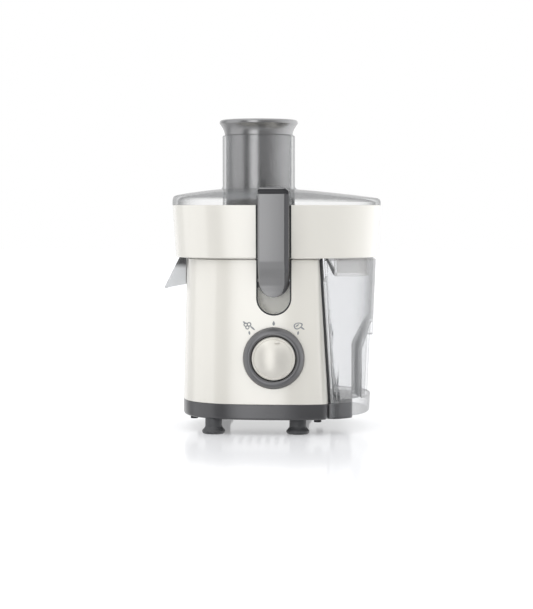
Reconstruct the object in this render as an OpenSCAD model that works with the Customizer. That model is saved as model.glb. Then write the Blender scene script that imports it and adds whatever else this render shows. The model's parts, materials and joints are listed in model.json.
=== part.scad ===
// Centrifugal juicer: motor base, juice bowl, clear lid with feed tube, spinning filter basket and a
// pulp container that slides out sideways. Millimetres, Z up, X to the right, the front faces -Y.
// The origin is on the floor, below the middle of the whole outline.

/* [Body outline] */
// Half width of the bowl at its top edge
bowl_half_w = 91; // [86:1:98]
// Half depth of the bowl at its top edge
bowl_half_d = 75; // [73:0.5:79]
// How far the bowl's sides draw in towards the seam
bowl_taper = 3; // [1:0.5:4]
// Radius under the bowl's lower edge
bowl_edge_r = 3; // [1:0.5:4]
// Squareness of the plan outline: 2 is an ellipse, more is squarer
squareness = 2.8; // [2.4:0.1:3.2]
// How far the bowl overhangs the motor housing on the left
overhang_w = 12.7; // [9:0.1:16]
// How far the bowl overhangs the housing and the container at the front and the back
overhang_d = 7.5; // [6:0.1:9]
// How far the housing flares out from the seam to the tray
housing_flare = 3.2; // [1:0.2:4]
// Distance from the bowl's middle to the housing's right wall, at the seam
split_top = 38; // [36:0.5:41]
// Distance from the bowl's middle to the housing's right wall, at the tray
split_low = 46; // [44:0.5:48]
// How far the bowl overhangs the pulp container on the right
overhang_right = 4; // [1:0.5:6]
// How far the container's outer side draws in towards its foot
container_taper = 5; // [3:0.5:6]
// The bowl's middle, to the right of the origin
bowl_x = 3; // [2:0.5:5]

/* [Heights] */
// Height of the feet below the tray
foot_h = 13.2; // [11:0.2:16]
// Height of the dark tray's skirt
skirt_h = 13.4; // [12:0.2:16]
// Height of the cream motor housing
housing_h = 123.4; // [122:0.2:127]
// Height of the juice bowl
bowl_h = 45; // [44:0.5:48]
// Height of the lid's upright edge above the bowl
lid_edge_h = 5; // [4:0.5:6]
// Rise of the dome from its edge to the feed tube
dome_rise = 9; // [6:0.5:11]
// Height of the feed tube's top above the bowl
tube_h = 60.6; // [50:0.2:70]
// Height of the pusher's flared head
head_h = 13.4; // [10:0.2:18]

/* [Walls and clearances] */
// Wall of the motor housing
housing_wall = 2.6; // [2:0.1:3]
// Wall of the tray
tray_wall = 2.6; // [2:0.1:3.2]
// Wall of the bowl
bowl_wall = 2.4; // [2:0.1:3]
// Wall of the clear lid
lid_wall = 2.2; // [1.8:0.1:3]
// Wall of the feed tube
tube_wall = 2.9; // [2.4:0.1:3.4]
// Wall of the pulp container
container_wall = 2.2; // [1.8:0.1:2.6]
// Gap between the housing's right wall and the container
container_gap = 2.3; // [1.5:0.1:3]
// Clearance between pieces that lie beside each other
gap = 0.3; // [0.2:0.05:0.5]
// Clearance round a turning pin or spindle
run_gap = 0.05; // [0.03:0.01:0.08]

/* [Feed tube and pusher] */
// Bore of the feed tube
tube_bore = 57.6; // [54:0.2:60]
// Clearance between the pusher and the tube, on the radius
pusher_gap = 0.7; // [0.4:0.1:1.2]
// Wall of the pusher's cup
pusher_wall = 2.2; // [1.6:0.1:3]
// Diameter of the pusher's head at its lower edge
head_low_d = 59.6; // [58.8:0.2:64]
// Diameter of the pusher's head at its top
head_top_d = 68.6; // [66:0.2:72]

/* [Filter basket] */
// How far the mesh cone opens from the grating disc to its top, on the radius
mesh_flare = 14.5; // [11:0.5:17]
// Room between the mesh cone's top and the well, on the radius
mesh_room = 4.5; // [3.5:0.1:7]
// How far the rim's outer flange reaches out over the well's wall
rim_over = 3; // [2.5:0.1:4]
// Height of the grating disc above the bowl's floor
disc_up = 18; // [17:0.5:19]
// Depth of the filter's rim below the bowl's rim
rim_down = 5; // [4.5:0.5:8]
// Distance from the bowl's edge to its round well, at the left, the front and the back
well_margin = 13; // [12:0.2:15]
// Height of one grating tooth
tooth_h = 0.9; // [0.5:0.1:1.2]
// Rings of teeth on the grating disc
tooth_rings = 5; // [3:1:6]

/* [Clamps] */
// Width of a clamp arm and of its round lower end
clamp_w = 26; // [22:1:28]
// Gap between the bowl and the clamp's arm
clamp_stand = 1; // [0.5:0.25:3]
// Thickness of the clamp arm
clamp_t = 6; // [4.5:0.5:6]
// How far the hook reaches in over the lid
hook_reach = 15; // [12:0.5:18]
// Thickness of the hook above the lid's catch
hook_t = 6.5; // [5:0.5:8]
// Drop of the clamp's pin below the seam
pin_drop = 18.5; // [17:0.5:20]
// Depth of the clamp's pin behind the housing's face
pin_in = 3; // [2.5:0.25:4]
// Diameter of the clamp's pin
pin_d = 3; // [2.5:0.1:3.5]
// Side gap between the clamp and its recess
recess_gap = 1.9; // [1.2:0.1:2.5]
// Drop of the recess's lower end below the seam
recess_drop = 46.2; // [43:0.2:50]
// Depth of the clamp's recess at the seam
recess_depth = 16; // [15.5:0.5:18]

/* [Knob] */
// Drop of the knob's axis below the clamp's recess
knob_drop = 37.8; // [36:0.2:42]
// Outer radius of the dark bezel
bezel_r = 26; // [23:0.5:28]
// Radius of the bezel's front edge
bezel_front_r = 21.2; // [20.5:0.2:22.5]
// Depth of the bezel
bezel_t = 7; // [5:0.5:8]
// Radius of the knob's cap
cap_r = 18.4; // [16:0.2:19]
// How far the cap's face stands out from the bezel's seat
cap_out = 13; // [11:0.5:13.5]
// Diameter of the knob's spindle
spindle_d = 6; // [5:0.5:7]
// Radius of the circle on which the dial marks lie
marks_r = 29.6; // [28.5:0.2:32]
// Angle from the top mark to each side mark
marks_turn = 44; // [35:1:60]

/* [Motor] */
// Length of the rubber-mounted bosses that hang from the deck
boss_l = 9; // [7:0.5:12]
// Diameter of the motor shaft
shaft_d = 8; // [6:0.5:9]
// Outer diameter of both ball bearings
bearing_d = 22; // [19:0.5:24]
// Width of both ball bearings
bearing_w = 7; // [6:0.5:8]
// Diameter of the armature
armature_d = 39; // [34:1:40]
// Height of the lamination stacks
stack_h = 32; // [26:1:33]
// Width of the square stator stack
stator_w = 68; // [66:1:72]
// Diameter of the commutator
commutator_d = 22; // [18:0.5:24]
// Radius of the cooling fan
fan_r = 26; // [22:0.5:26.5]
// Blades of the cooling fan
fan_blades = 10; // [6:1:12]
// Distance of the long motor screws from the axis
screw_out = 29; // [28.5:0.25:30]

/* [Container grip] */
// Half width of the grip rib at the container's outer end
rib_half_w = 12; // [9:0.5:16]
// Depth of the finger pockets below the container's top outline
pocket_depth = 16; // [13:0.5:17]
// Height of the pockets' ceiling above the tray, where it starts
pocket_h = 49.4; // [35:0.2:58]
// Rise of the pockets' ceiling to the outside
pocket_rise = 20; // [10:1:26]
// How far the rib stands back from the container's outer side
rib_inset = 2.5; // [1:0.5:4]

/* [Hidden] */

eps = 0.01;
plan_steps = 60;
fine = 96;
corner_blend = 30;
no_wall = 1000;

// Heights of the main joints, from the floor up
tray_z = foot_h;
tray_top = tray_z + skirt_h;
seam_z = tray_top + housing_h;
rim_z = seam_z + bowl_h;
lid_edge_z = rim_z + lid_edge_h;
tube_top = rim_z + tube_h;
pusher_top = tube_top + gap + head_h;

// Plan sizes that follow from the bowl's
housing_half_w = bowl_half_w - overhang_w;
housing_half_d = bowl_half_d - overhang_d;
container_half_w = bowl_half_w - overhang_right;
well_r = bowl_half_d - well_margin;
motor_shift = bowl_half_w - well_margin - well_r;
motor_x = bowl_x - motor_shift;
mesh_top_r = well_r - mesh_room;
rim_flange_r = well_r + rim_over;
disc_r = mesh_top_r - mesh_flare;
mesh_h = bowl_h - rim_down - disc_up;

// ---------------------------------------------------------------- plan outlines and lofts

// Distance from the axis to the outline at an angle: a superellipse whose right side is cut off by
// a flat wall, the two blended by a power mean so that the corners come out round.
function plan_r(angle, a, b, wall) =
    let (ellipse = pow(abs(cos(angle)) / a, squareness) + pow(abs(sin(angle)) / b, squareness))
    pow(pow(ellipse, corner_blend / squareness) + pow(max(cos(angle), 0) / wall, corner_blend),
        -1 / corner_blend);

// One closed ring of the outline at a height
function plan_ring(a, b, wall, z) = [
    for (i = [0:plan_steps - 1])
        let (angle = 360 * i / plan_steps, r = plan_r(angle, a, b, wall))
        [r * cos(angle), r * sin(angle), z]
];

// Triangles between rings that hold equally many points; the last ring also meets the first when
// the rings go round in a loop
function band(rings, loop) =
    let (n = len(rings[0]), count = len(rings))
    [
        for (k = [0:count - (loop ? 1 : 2)], i = [0:n - 1])
            let (j = (i + 1) % n, low = k * n, high = ((k + 1) % count) * n)
            each [[low + i, high + i, high + j], [low + i, high + j, low + j]]
    ];

// A solid between rings, closed at the first and the last ring by triangles that meet on the axis.
// Rings that turn back inside make a cup in one piece.
module loft(rings) {
    n = len(rings[0]);
    last = len(rings) - 1;
    count = n * len(rings);
    centres = [[0, 0, rings[0][0][2]], [0, 0, rings[last][0][2]]];
    bottom = [for (i = [0:n - 1]) [count, i, (i + 1) % n]];
    top = [for (i = [0:n - 1]) [count + 1, last * n + (i + 1) % n, last * n + i]];
    polyhedron(concat([for (ring = rings) each ring], centres), concat(bottom, band(rings, false), top));
}

// A solid whose rings go up its outer side and down its inner side, open through the middle
module loop_loft(rings)
    polyhedron([for (ring = rings) each ring], band(rings, true));

// Share of the way from the seam down to the tray
function down(z) = (seam_z - z) / housing_h;
function housing_a(z) = housing_half_w + housing_flare * down(z);
function housing_b(z) = housing_half_d + 0.8 * housing_flare * down(z);
function split_x(z) = split_top + (split_low - split_top) * down(z);
function container_a(z) = container_half_w - container_taper * down(z);

function housing_ring(grow, z) =
    plan_ring(housing_a(z) + grow, housing_b(z) + grow, split_x(z) + grow, z);

// Half width of the bowl lost at a height: the draft of its sides and the round lower edge
function bowl_loss(z) =
    let (up = z - seam_z, low = min(up, bowl_edge_r) - bowl_edge_r)
    bowl_taper * (1 - up / bowl_h) + bowl_edge_r - sqrt(bowl_edge_r * bowl_edge_r - low * low);

// Heights at which the bowl's rings lie: closer together round the lower edge
bowl_levels = concat([for (t = [0, 0.3, 1]) seam_z + t * bowl_edge_r], [seam_z + bowl_h / 2, rim_z]);

function bowl_ring(grow, z) =
    let (less = bowl_loss(z) - grow)
    plan_ring(bowl_half_w - less, bowl_half_d - less, no_wall, z);

// A circle round the motor axis, with the outline's number of points, from the bowl's middle
function round_ring(r, z) = [
    for (i = [0:plan_steps - 1])
        let (angle = 360 * i / plan_steps)
        [r * cos(angle) - motor_shift, r * sin(angle), z]
];

module at_motor(z = 0)
    translate([motor_x, 0, z])
        children();

module tube(r_out, r_in, h)
    difference() {
        cylinder(r = r_out, h = h, $fn = fine);
        translate([0, 0, -1])
            cylinder(r = r_in, h = h + 2, $fn = fine);
    }

// A box between two corners
module block(low, high)
    translate(low)
        cube(high - low);

// Children at the front, and mirrored to the back when asked
module side(rear)
    mirror([0, rear ? 1 : 0, 0])
        children();

// ---------------------------------------------------------------- motor housing

deck_t = 3;
deck_z = seam_z - deck_t;
seat_hole_r = 13;
recess_half_w = clamp_w / 2 + recess_gap;
recess_wall = 2;
recess_lip = 1.5;
recess_back = housing_half_d - recess_depth;
recess_low_z = seam_z - recess_drop;
pin_z = seam_z - pin_drop;
pin_out = housing_half_d - pin_in;
pin_r = pin_d / 2;
pin_hole_reach = 5;
knob_z = recess_low_z - knob_drop;

// U-shaped tunnel for a clamp, seen from the front and run from one depth to another
module recess_tunnel(half_w, from_out, to_out, top)
    translate([bowl_x, -from_out, 0])
        rotate([90, 0, 0])
            linear_extrude(to_out - from_out)
                recess_outline(half_w, top);

module recess_outline(half_w, top) {
    translate([0, recess_low_z + recess_half_w])
        circle(half_w, $fn = 64);
    translate([-half_w, recess_low_z + recess_half_w])
        square([2 * half_w, top - recess_low_z - recess_half_w]);
}

// Screws that hold the tray to the housing: left pair and right pair, from the bowl's middle
screw_left_in = 8.3;
screw_left_back = 31.5;
screw_right_in = 9;
screw_right_back = 8;
corner_screws = [
    for (s = [-1, 1])
        each [
            [screw_left_in - housing_half_w, s * (housing_half_d - screw_left_back)],
            [split_low - screw_right_in, s * (housing_half_d - screw_right_back)]
        ]
];
corner_boss_r = 4.5;
corner_boss_h = 44;
screw_r = 1.6;
screw_l = 22;
screw_head_r = 3.2;
screw_head_h = 2.2;

mount_out_x = 34;
mount_out_y = 24;
mount_pads = [for (u = [-1, 1], v = [-1, 1]) [mount_out_x * u, mount_out_y * v]];
mount_h = 4;
mount_r = 5;
boss_low_z = deck_z - boss_l;
upper_plate_t = 3;
upper_plate_z = boss_low_z - mount_h - upper_plate_t;

// The dial's flat seat on the housing front
dial_flat = 1.4;
dial_wall = 3.2;
dial_boss_r = 12;
dial_seat = housing_b(knob_z) - dial_flat;
switch_face = dial_seat - dial_wall;
switch_bush_r = 5;
gland_up = 13.4;
gland_l = 6;
gland_stand = 0.8;
gland_z = tray_top + gland_up;
gland_out = housing_b(gland_z) + gland_stand;
gland_in = gland_out - gland_l;
gland_r = 6;
gland_boss_r = 11;

module motor_housing()
    color("#f3f0e6") difference() {
        union() {
            translate([bowl_x, 0, 0])
                loft([
                    housing_ring(-housing_wall, deck_z), housing_ring(-housing_wall, tray_top),
                    housing_ring(0, tray_top), housing_ring(0, seam_z)
                ]);
            for (rear = [false, true])
                side(rear)
                    recess_tunnel(recess_half_w + recess_wall, recess_back,
                                  housing_half_d - recess_lip, deck_z + eps);
            for (p = corner_screws)
                translate([bowl_x + p[0], p[1], tray_top])
                    cylinder(r = corner_boss_r, h = corner_boss_h, $fn = 32);
            for (p = mount_pads)
                at_motor(boss_low_z)
                    translate([p[0], p[1], 0])
                        cylinder(r = mount_r, h = deck_z - boss_low_z + eps, $fn = 32);
            translate([bowl_x, -switch_face, knob_z])
                rotate([90, 0, 0])
                    cylinder(r = dial_boss_r, h = dial_wall, $fn = 48);
            translate([motor_x, gland_in, gland_z])
                rotate([-90, 0, 0])
                    cylinder(r = gland_boss_r, h = gland_l, $fn = 48);
        }
        for (rear = [false, true])
            side(rear) {
                recess_tunnel(recess_half_w, recess_back - 1, bowl_half_d, seam_z + 1);
                translate([bowl_x - recess_half_w - pin_hole_reach, -pin_out, pin_z])
                    rotate([0, 90, 0])
                        cylinder(r = pin_r + run_gap, h = 2 * (recess_half_w + pin_hole_reach), $fn = 32);
            }
        at_motor(deck_z - 1)
            cylinder(r = seat_hole_r, h = deck_t + 2, $fn = fine);
        for (p = corner_screws)
            translate([bowl_x + p[0], p[1], tray_z])
                cylinder(r = screw_r + gap / 3, h = screw_l + 2, $fn = 24);
        for (p = mount_pads)
            at_motor(boss_low_z - 1)
                translate([p[0], p[1], 0])
                    cylinder(r = screw_r + gap / 3, h = boss_l, $fn = 24);
        translate([bowl_x, -dial_seat, knob_z])
            rotate([90, 0, 0])
                cylinder(r = bezel_r + gap, h = bezel_t + 3, $fn = fine);
        translate([bowl_x, -switch_face + 1, knob_z])
            rotate([90, 0, 0])
                cylinder(r = switch_bush_r + gap, h = dial_wall + bezel_t, $fn = 48);
        translate([motor_x, gland_in - 1, gland_z])
            rotate([-90, 0, 0])
                cylinder(r = gland_r + gap / 3, h = 2 * gland_l, $fn = 48);
    }

recess_plate_t = 1.5;

module recess_plate(rear)
    color("#c8c8c0") side(rear)
        recess_tunnel(recess_half_w + recess_wall, recess_back - recess_plate_t, recess_back, deck_z - gap);

module clamp_pin(rear)
    color("#b8bcc0") side(rear)
        translate([bowl_x - recess_half_w - recess_wall, -pin_out, pin_z])
            rotate([0, 90, 0])
                cylinder(r = pin_r, h = 2 * (recess_half_w + recess_wall), $fn = 32);

safety_size = [20, 6, 10];

module safety_switches()
    color("#303234")
        for (rear = [false, true])
            side(rear)
                translate([bowl_x - safety_size[0] / 2, recess_plate_t - recess_back, pin_z - safety_size[2] / 2])
                    cube(safety_size);

// ---------------------------------------------------------------- tray and feet

pocket_x = container_half_w - pocket_depth;
pocket_z = tray_top + pocket_h;
shelf_end_gap = 2.3;
shelf_back = 9.5;
shelf_end = pocket_x - container_wall - shelf_end_gap;
shelf_half_d = housing_half_d - shelf_back;
shelf_gap = 0.8;
foot_out_x = 36;
foot_in_y = 14.5;
foot_out_y = housing_half_d - foot_in_y;
foot_pad_r = 9.9;
foot_neck_r = 7.3;
foot_pad_h = 5;
foot_edge = 0.8;
foot_shoulder = 1.5;
foot_plug_r = 3.4;
foot_barb_r = 4.4;
foot_barb_h = 2;
tray_edge_r = 2.5;
vent_pitch = 8;
vent_w = 4;
vent_l = 44;

function tray_ring(grow, z) =
    plan_ring(housing_a(tray_top) + grow, housing_b(tray_top) + grow, split_x(tray_top) + grow, z);

// Outline of the shelf: it stays inside the container's foot
module shelf_outline(grow)
    translate([bowl_x, 0])
        intersection() {
            polygon([
                for (p = plan_ring(container_a(tray_top) - container_wall - shelf_gap + grow,
                                   housing_b(tray_top) - container_wall - shelf_gap + grow, no_wall, 0))
                    [p[0], p[1]]
            ]);
            translate([split_low - tray_wall / 2, -shelf_half_d - grow])
                square([shelf_end - split_low + tray_wall / 2 + grow, 2 * (shelf_half_d + grow)]);
        }

module base_tray()
    color("#55575a") difference() {
        union() {
            // a cup with a round lower edge
            translate([bowl_x, 0, 0])
                loft(concat(
                    [
                        for (t = [0, 0.3, 1])
                            tray_ring(-tray_edge_r * (1 - sqrt(1 - (1 - t) * (1 - t))), tray_z + t * tray_edge_r)
                    ],
                    [
                        tray_ring(0, tray_top), tray_ring(-tray_wall, tray_top),
                        tray_ring(-tray_wall, tray_z + tray_wall)
                    ]
                ));
            // the shelf under the pulp container
            translate([0, 0, tray_z])
                linear_extrude(skirt_h)
                    shelf_outline(0);
            for (p = corner_screws)
                translate([bowl_x + p[0], p[1], tray_z + tray_wall / 2])
                    cylinder(r = corner_boss_r, h = skirt_h - tray_wall / 2, $fn = 32);
        }
        // hollow below the shelf
        translate([0, 0, tray_z - 1])
            linear_extrude(skirt_h - tray_wall + 1)
                shelf_outline(-tray_wall);
        for (u = [-1, 1], v = [-1, 1])
            translate([motor_x + foot_out_x * u, foot_out_y * v, tray_z - 1])
                cylinder(r = foot_plug_r + gap / 3, h = tray_wall + 2, $fn = 32);
        for (p = corner_screws)
            translate([bowl_x + p[0], p[1], tray_z - 1])
                cylinder(r = screw_r + gap, h = skirt_h + 2, $fn = 24);
        for (k = [-3:3])
            translate([motor_x + vent_pitch * k - vent_w / 2, -vent_l / 2, tray_z - 1])
                cube([vent_w, vent_l, tray_wall + 2]);
    }

module foot(u, v)
    color("#3c3d3f")
        translate([motor_x + foot_out_x * u, foot_out_y * v, 0])
            rotate_extrude($fn = 48)
                polygon([
                    [0, 0], [foot_pad_r - foot_edge, 0], [foot_pad_r, foot_edge],
                    [foot_pad_r, foot_pad_h - foot_shoulder],
                    [foot_neck_r, foot_pad_h], [foot_neck_r, tray_z], [foot_plug_r, tray_z],
                    [foot_plug_r, tray_z + tray_wall], [foot_barb_r, tray_z + tray_wall],
                    [foot_plug_r, tray_z + tray_wall + foot_barb_h], [0, tray_z + tray_wall + foot_barb_h]
                ]);

// A screw with its head's underside at a height and its shank going up from there
module screw_at(x, y, z, shank_h)
    translate([x, y, z - screw_head_h]) {
        cylinder(r = screw_head_r, h = screw_head_h, $fn = 24);
        cylinder(r = screw_r, h = screw_head_h + shank_h, $fn = 24);
    }

module housing_screws()
    color("#a8abb0")
        for (p = corner_screws)
            screw_at(bowl_x + p[0], p[1], tray_z, screw_l);

// ---------------------------------------------------------------- knob and switch

module on_dial(out = 0)
    translate([bowl_x, -dial_seat - out, knob_z])
        rotate([90, 0, 0])
            children();

nut_t = 2.2;
nut_r = 7.5;
bezel_floor = 1.2;
bezel_edge = 1.6;
cap_wall = 2;
cap_t = 3;
cap_hub_wall = 2;
cap_hub_low = 3.6;
cap_round = 2.8;
spindle_depth = 12;
switch_w = 28;
switch_d = 16;
pin_w = 4;
pin_t = 0.8;
pin_l = 5;
pin_pitch = 9;
pins_down = 8;

module knob_bezel()
    color("#4a4c4e") on_dial()
        rotate_extrude($fn = fine)
            polygon([
                [nut_r + 1, 0], [bezel_r, 0], [bezel_r, bezel_edge], [bezel_front_r, bezel_t],
                [cap_r + 2 * gap, bezel_t], [cap_r + 2 * gap, bezel_floor], [nut_r + 1, bezel_floor]
            ]);

module knob_cap()
    color("#ebe8e0") on_dial()
        difference() {
            rotate_extrude($fn = fine)
                polygon([
                    [spindle_d / 2, cap_out - cap_t], [spindle_d / 2, cap_hub_low],
                    [spindle_d / 2 + cap_hub_wall, cap_hub_low],
                    [spindle_d / 2 + cap_hub_wall, cap_out - cap_t + 0.4],
                    [cap_r - cap_round - cap_wall, cap_out - cap_t],
                    [cap_r - cap_wall, cap_out - cap_t - 2.4], [cap_r - cap_wall, bezel_floor + 1],
                    [cap_r, bezel_floor + 1], [cap_r, cap_out - cap_round - 1.4],
                    [cap_r - 0.6, cap_out - cap_round - 0.2], [cap_r - cap_round, cap_out - 1],
                    [cap_r - cap_round - 3.2, cap_out - 0.4], [0, cap_out], [0, cap_out - cap_t]
                ]);
            translate([-1.2, cap_r - 4, cap_out - 2])
                cube([2.4, 6, 3]);
        }

module knob_spindle()
    color("#b8bcc0") on_dial(-dial_wall - spindle_depth)
        cylinder(r = spindle_d / 2, h = dial_wall + spindle_depth + cap_out - cap_t, $fn = 32);

module speed_switch()
    color("#2c2e30") translate([bowl_x, -switch_face, knob_z])
        rotate([90, 0, 0])
            difference() {
                union() {
                    translate([-switch_w / 2, -switch_w / 2, -switch_d])
                        cube([switch_w, switch_w, switch_d]);
                    cylinder(r = switch_bush_r, h = dial_wall + nut_t + 0.6, $fn = 48);
                    for (u = [-1, 0, 1])
                        translate([pin_pitch * u - pin_w / 2, -pins_down, -switch_d - pin_l])
                            cube([pin_w, pin_t, pin_l + eps]);
                }
                translate([0, 0, -spindle_depth - gap])
                    cylinder(r = spindle_d / 2 + run_gap, h = spindle_depth + dial_wall + cap_out, $fn = 32);
            }

module switch_nut()
    color("#c8ccd0") on_dial()
        difference() {
            cylinder(r = nut_r, h = nut_t, $fn = 6);
            translate([0, 0, -1])
                cylinder(r = switch_bush_r + gap / 3, h = nut_t + 2, $fn = 48);
        }

// Dial marks: a drop at the top, a tick at each side, and a simple fruit beside each side tick
module fruit(r, lobes) {
    for (k = [0:lobes - 1])
        rotate(360 * k / lobes)
            translate([0, r * 0.55])
                circle(r * 0.5, $fn = 20);
    circle(r * 0.5, $fn = 20);
    translate([0, r * 0.9])
        rotate(-30)
            square([0.7, r * 0.9]);
}

// Distance of the housing's front face from the middle plane, at a place seen from the front
function front_out(x, z) =
    let (share = pow(abs(x) / housing_a(z), squareness))
    housing_b(z) * pow(1 - share, 1 / squareness);

// Children drawn in the plane that touches the front face, at a place round the knob
mark_t = 0.4;
mark_gap = 0.15;

module on_front(x, up)
    let (z = knob_z + up, turn = atan((front_out(x + 1, z) - front_out(x - 1, z)) / 2),
         lean = atan(front_out(x, z + 1) - front_out(x, z)))
    translate([bowl_x + x, -front_out(x, z) - mark_gap, z])
        rotate([90 - lean, 0, -turn])
            linear_extrude(mark_t)
                children();

module dial_marks()
    color("#8a8d90") {
        on_front(0, marks_r)
            union() {
                circle(0.9, $fn = 20);
                translate([-0.45, 0])
                    square([0.9, 2.2]);
            }
        for (s = [-1, 1]) {
            on_front(-marks_r * sin(s * marks_turn), marks_r * cos(s * marks_turn))
                rotate(s * marks_turn)
                    translate([-0.4, -1.6])
                        square([0.8, 3.2]);
            on_front(-(marks_r + 6) * sin(s * marks_turn), (marks_r + 6) * cos(s * marks_turn))
                fruit(2.2, s < 0 ? 3 : 5);
        }
    }

// ---------------------------------------------------------------- motor

fan_h = 8;
fan_room = 8;
fan_clear = 3;
brush_room = 36;
upper_bearing_z = upper_plate_z + upper_plate_t - bearing_w;
fan_z = upper_bearing_z - fan_clear - fan_h;
stack_z = fan_z - fan_room - stack_h;
motor_z = stack_z - brush_room;
brush_up = 8;
brush_z = motor_z + bearing_w + brush_up;
coil_over = 6;
coil_in = 15.2;
coil_out = 24;
coil_y0 = 22;
coil_y1 = 29;
air_gap = 0.7;
plate_up = 4;
plate_t = 3;
plate_z = motor_z + plate_up;
cup_wall = 2;
lower_arm_l = 38;
lower_arm_w = 9;
lower_wing_l = 34;
lower_wing_w = 7;
upper_half_w = 40;
upper_half_d = 30;
upper_hole_r = 5;
upper_hole_out = 21;
shaft_up = 12;
shaft_down = 3;
shaft_top = seam_z + shaft_up;
bearing_r = bearing_d / 2;
shaft_r = shaft_d / 2;

module bearing(z)
    color("#b4b8bc") at_motor(z)
        difference() {
            tube(bearing_r, shaft_r + run_gap, bearing_w);
            for (end = [-1, bearing_w - 0.6])
                translate([0, 0, end])
                    tube(bearing_r - 2, shaft_r + 2, 1.6);
        }

module motor_lower_bracket()
    color("#9a9da0") at_motor()
        difference() {
            union() {
                block([-lower_arm_l, -lower_arm_w, plate_z], [lower_arm_l, lower_arm_w, plate_z + plate_t]);
                block([-lower_wing_w, -lower_wing_l, plate_z], [lower_wing_w, lower_wing_l, plate_z + plate_t]);
                translate([0, 0, motor_z - cup_wall])
                    cylinder(r = bearing_r + cup_wall, h = bearing_w + cup_wall, $fn = fine);
            }
            translate([0, 0, motor_z])
                cylinder(r = bearing_r, h = bearing_w + 1, $fn = fine);
            translate([0, 0, motor_z - cup_wall - 1])
                cylinder(r = bearing_r - 3, h = 10, $fn = fine);
            for (u = [-1, 1])
                translate([screw_out * u, 0, plate_z - 1])
                    cylinder(r = screw_r + gap, h = plate_t + 2, $fn = 24);
        }

module motor_upper_bracket()
    color("#9a9da0") at_motor()
        difference() {
            union() {
                block([-upper_half_w, -upper_half_d, upper_plate_z],
                      [upper_half_w, upper_half_d, upper_plate_z + upper_plate_t]);
                translate([0, 0, upper_bearing_z])
                    cylinder(r = bearing_r + cup_wall, h = bearing_w, $fn = fine);
            }
            translate([0, 0, upper_bearing_z - 1])
                cylinder(r = bearing_r, h = bearing_w + 2, $fn = fine);
            for (u = [-1, 1])
                translate([screw_out * u, 0, upper_plate_z - 1])
                    cylinder(r = screw_r + gap, h = upper_plate_t + 2, $fn = 24);
            for (p = mount_pads)
                translate([p[0], p[1], upper_plate_z - 1])
                    cylinder(r = screw_r + gap, h = upper_plate_t + 2, $fn = 24);
            for (v = [-1, 1])
                translate([0, upper_hole_out * v, upper_plate_z - 1])
                    cylinder(r = upper_hole_r, h = upper_plate_t + 2, $fn = 32);
        }

module stator_core()
    color("#7d8084") at_motor(stack_z)
        difference() {
            translate([-stator_w / 2, -stator_w / 2, 0])
                cube([stator_w, stator_w, stack_h]);
            translate([0, 0, -1])
                cylinder(r = armature_d / 2 + air_gap, h = stack_h + 2, $fn = fine);
            for (u = [-1, 1], v = [-1, 1])
                mirror([u < 0 ? 1 : 0, 0, 0])
                    mirror([0, v < 0 ? 1 : 0, 0])
                        block([coil_in - 0.2, coil_y0 - 0.2, -1],
                              [coil_out + 0.2, coil_y1 + 0.2, stack_h + 1]);
            for (u = [-1, 1])
                translate([screw_out * u, 0, -1])
                    cylinder(r = screw_r + gap, h = stack_h + 2, $fn = 24);
        }

module field_coils()
    color("#b4652d") at_motor()
        for (v = [0, 1])
            mirror([0, v, 0])
                difference() {
                    block([-coil_out, coil_y0, stack_z - coil_over],
                          [coil_out, coil_y1, stack_z + stack_h + coil_over]);
                    block([-coil_in, coil_y0 - 1, stack_z - gap],
                          [coil_in, coil_y1 + 1, stack_z + stack_h + gap]);
                }

holder_gap = 1.5;
holder_l = 20.5;
holder_half_w = 6;
holder_over = 4;
brush_half = 3.5;
brush_l = 10.7;
spring_r = 2.4;
spring_wire_r = 0.4;
holder_end = 2;
holder_in = commutator_d / 2 + holder_gap;
holder_out = holder_in + holder_l;
holder_low = plate_z + plate_t;
holder_top = brush_z + 2 * brush_half + holder_over;

module brush_holders()
    color("#8b6b3a") at_motor()
        for (v = [0, 1])
            mirror([0, v, 0])
                difference() {
                    block([-holder_half_w, holder_in, holder_low], [holder_half_w, holder_out, holder_top]);
                    block([-brush_half - gap / 2, holder_in - 1, brush_z - gap / 2],
                          [brush_half + gap / 2, holder_out - holder_end, brush_z + 2 * brush_half + gap / 2]);
                }

brush_out = commutator_d / 2 + gap + brush_l;

module carbon_brushes()
    color("#2a2a2c") at_motor()
        for (v = [0, 1])
            mirror([0, v, 0])
                block([-brush_half, commutator_d / 2 + gap, brush_z],
                      [brush_half, brush_out, brush_z + 2 * brush_half]);

// Round wire swept along a helix, as a closed polyhedron
module coil_spring(coil_r, wire_r, length, turns) {
    per_turn = 12;
    facets = 5;
    n = turns * per_turn;
    points = [
        for (i = [0:n], k = [0:facets - 1])
            let (a = 360 * i / per_turn, w = 360 * k / facets, r = coil_r + wire_r * cos(w))
            [r * cos(a), r * sin(a), wire_r + (length - 2 * wire_r) * i / n + wire_r * sin(w)]
    ];
    sides = [
        for (i = [0:n - 1], k = [0:facets - 1])
            let (q = i * facets, m = (k + 1) % facets)
            each [[q + k, q + m, q + facets + m], [q + k, q + facets + m, q + facets + k]]
    ];
    start = [for (k = [facets - 1:-1:0]) k];
    finish = [for (k = [0:facets - 1]) n * facets + k];
    polyhedron(points, concat([start], sides, [finish]));
}

module brush_springs()
    color("#c0c4c8") at_motor(brush_z + brush_half)
        for (v = [0, 1])
            mirror([0, v, 0])
                translate([0, brush_out, 0])
                    rotate([-90, 0, 0])
                        coil_spring(spring_r, spring_wire_r, holder_out - holder_end - brush_out, 5);

module motor_screws()
    color("#a8abb0") at_motor()
        for (u = [-1, 1])
            screw_at(screw_out * u, 0, plate_z, upper_plate_z + upper_plate_t - plate_z + 1);

module motor_mounts()
    color("#3c3d3f") at_motor(upper_plate_z + upper_plate_t)
        for (p = mount_pads)
            translate([p[0], p[1], 0])
                tube(mount_r, screw_r + gap, mount_h);

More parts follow.
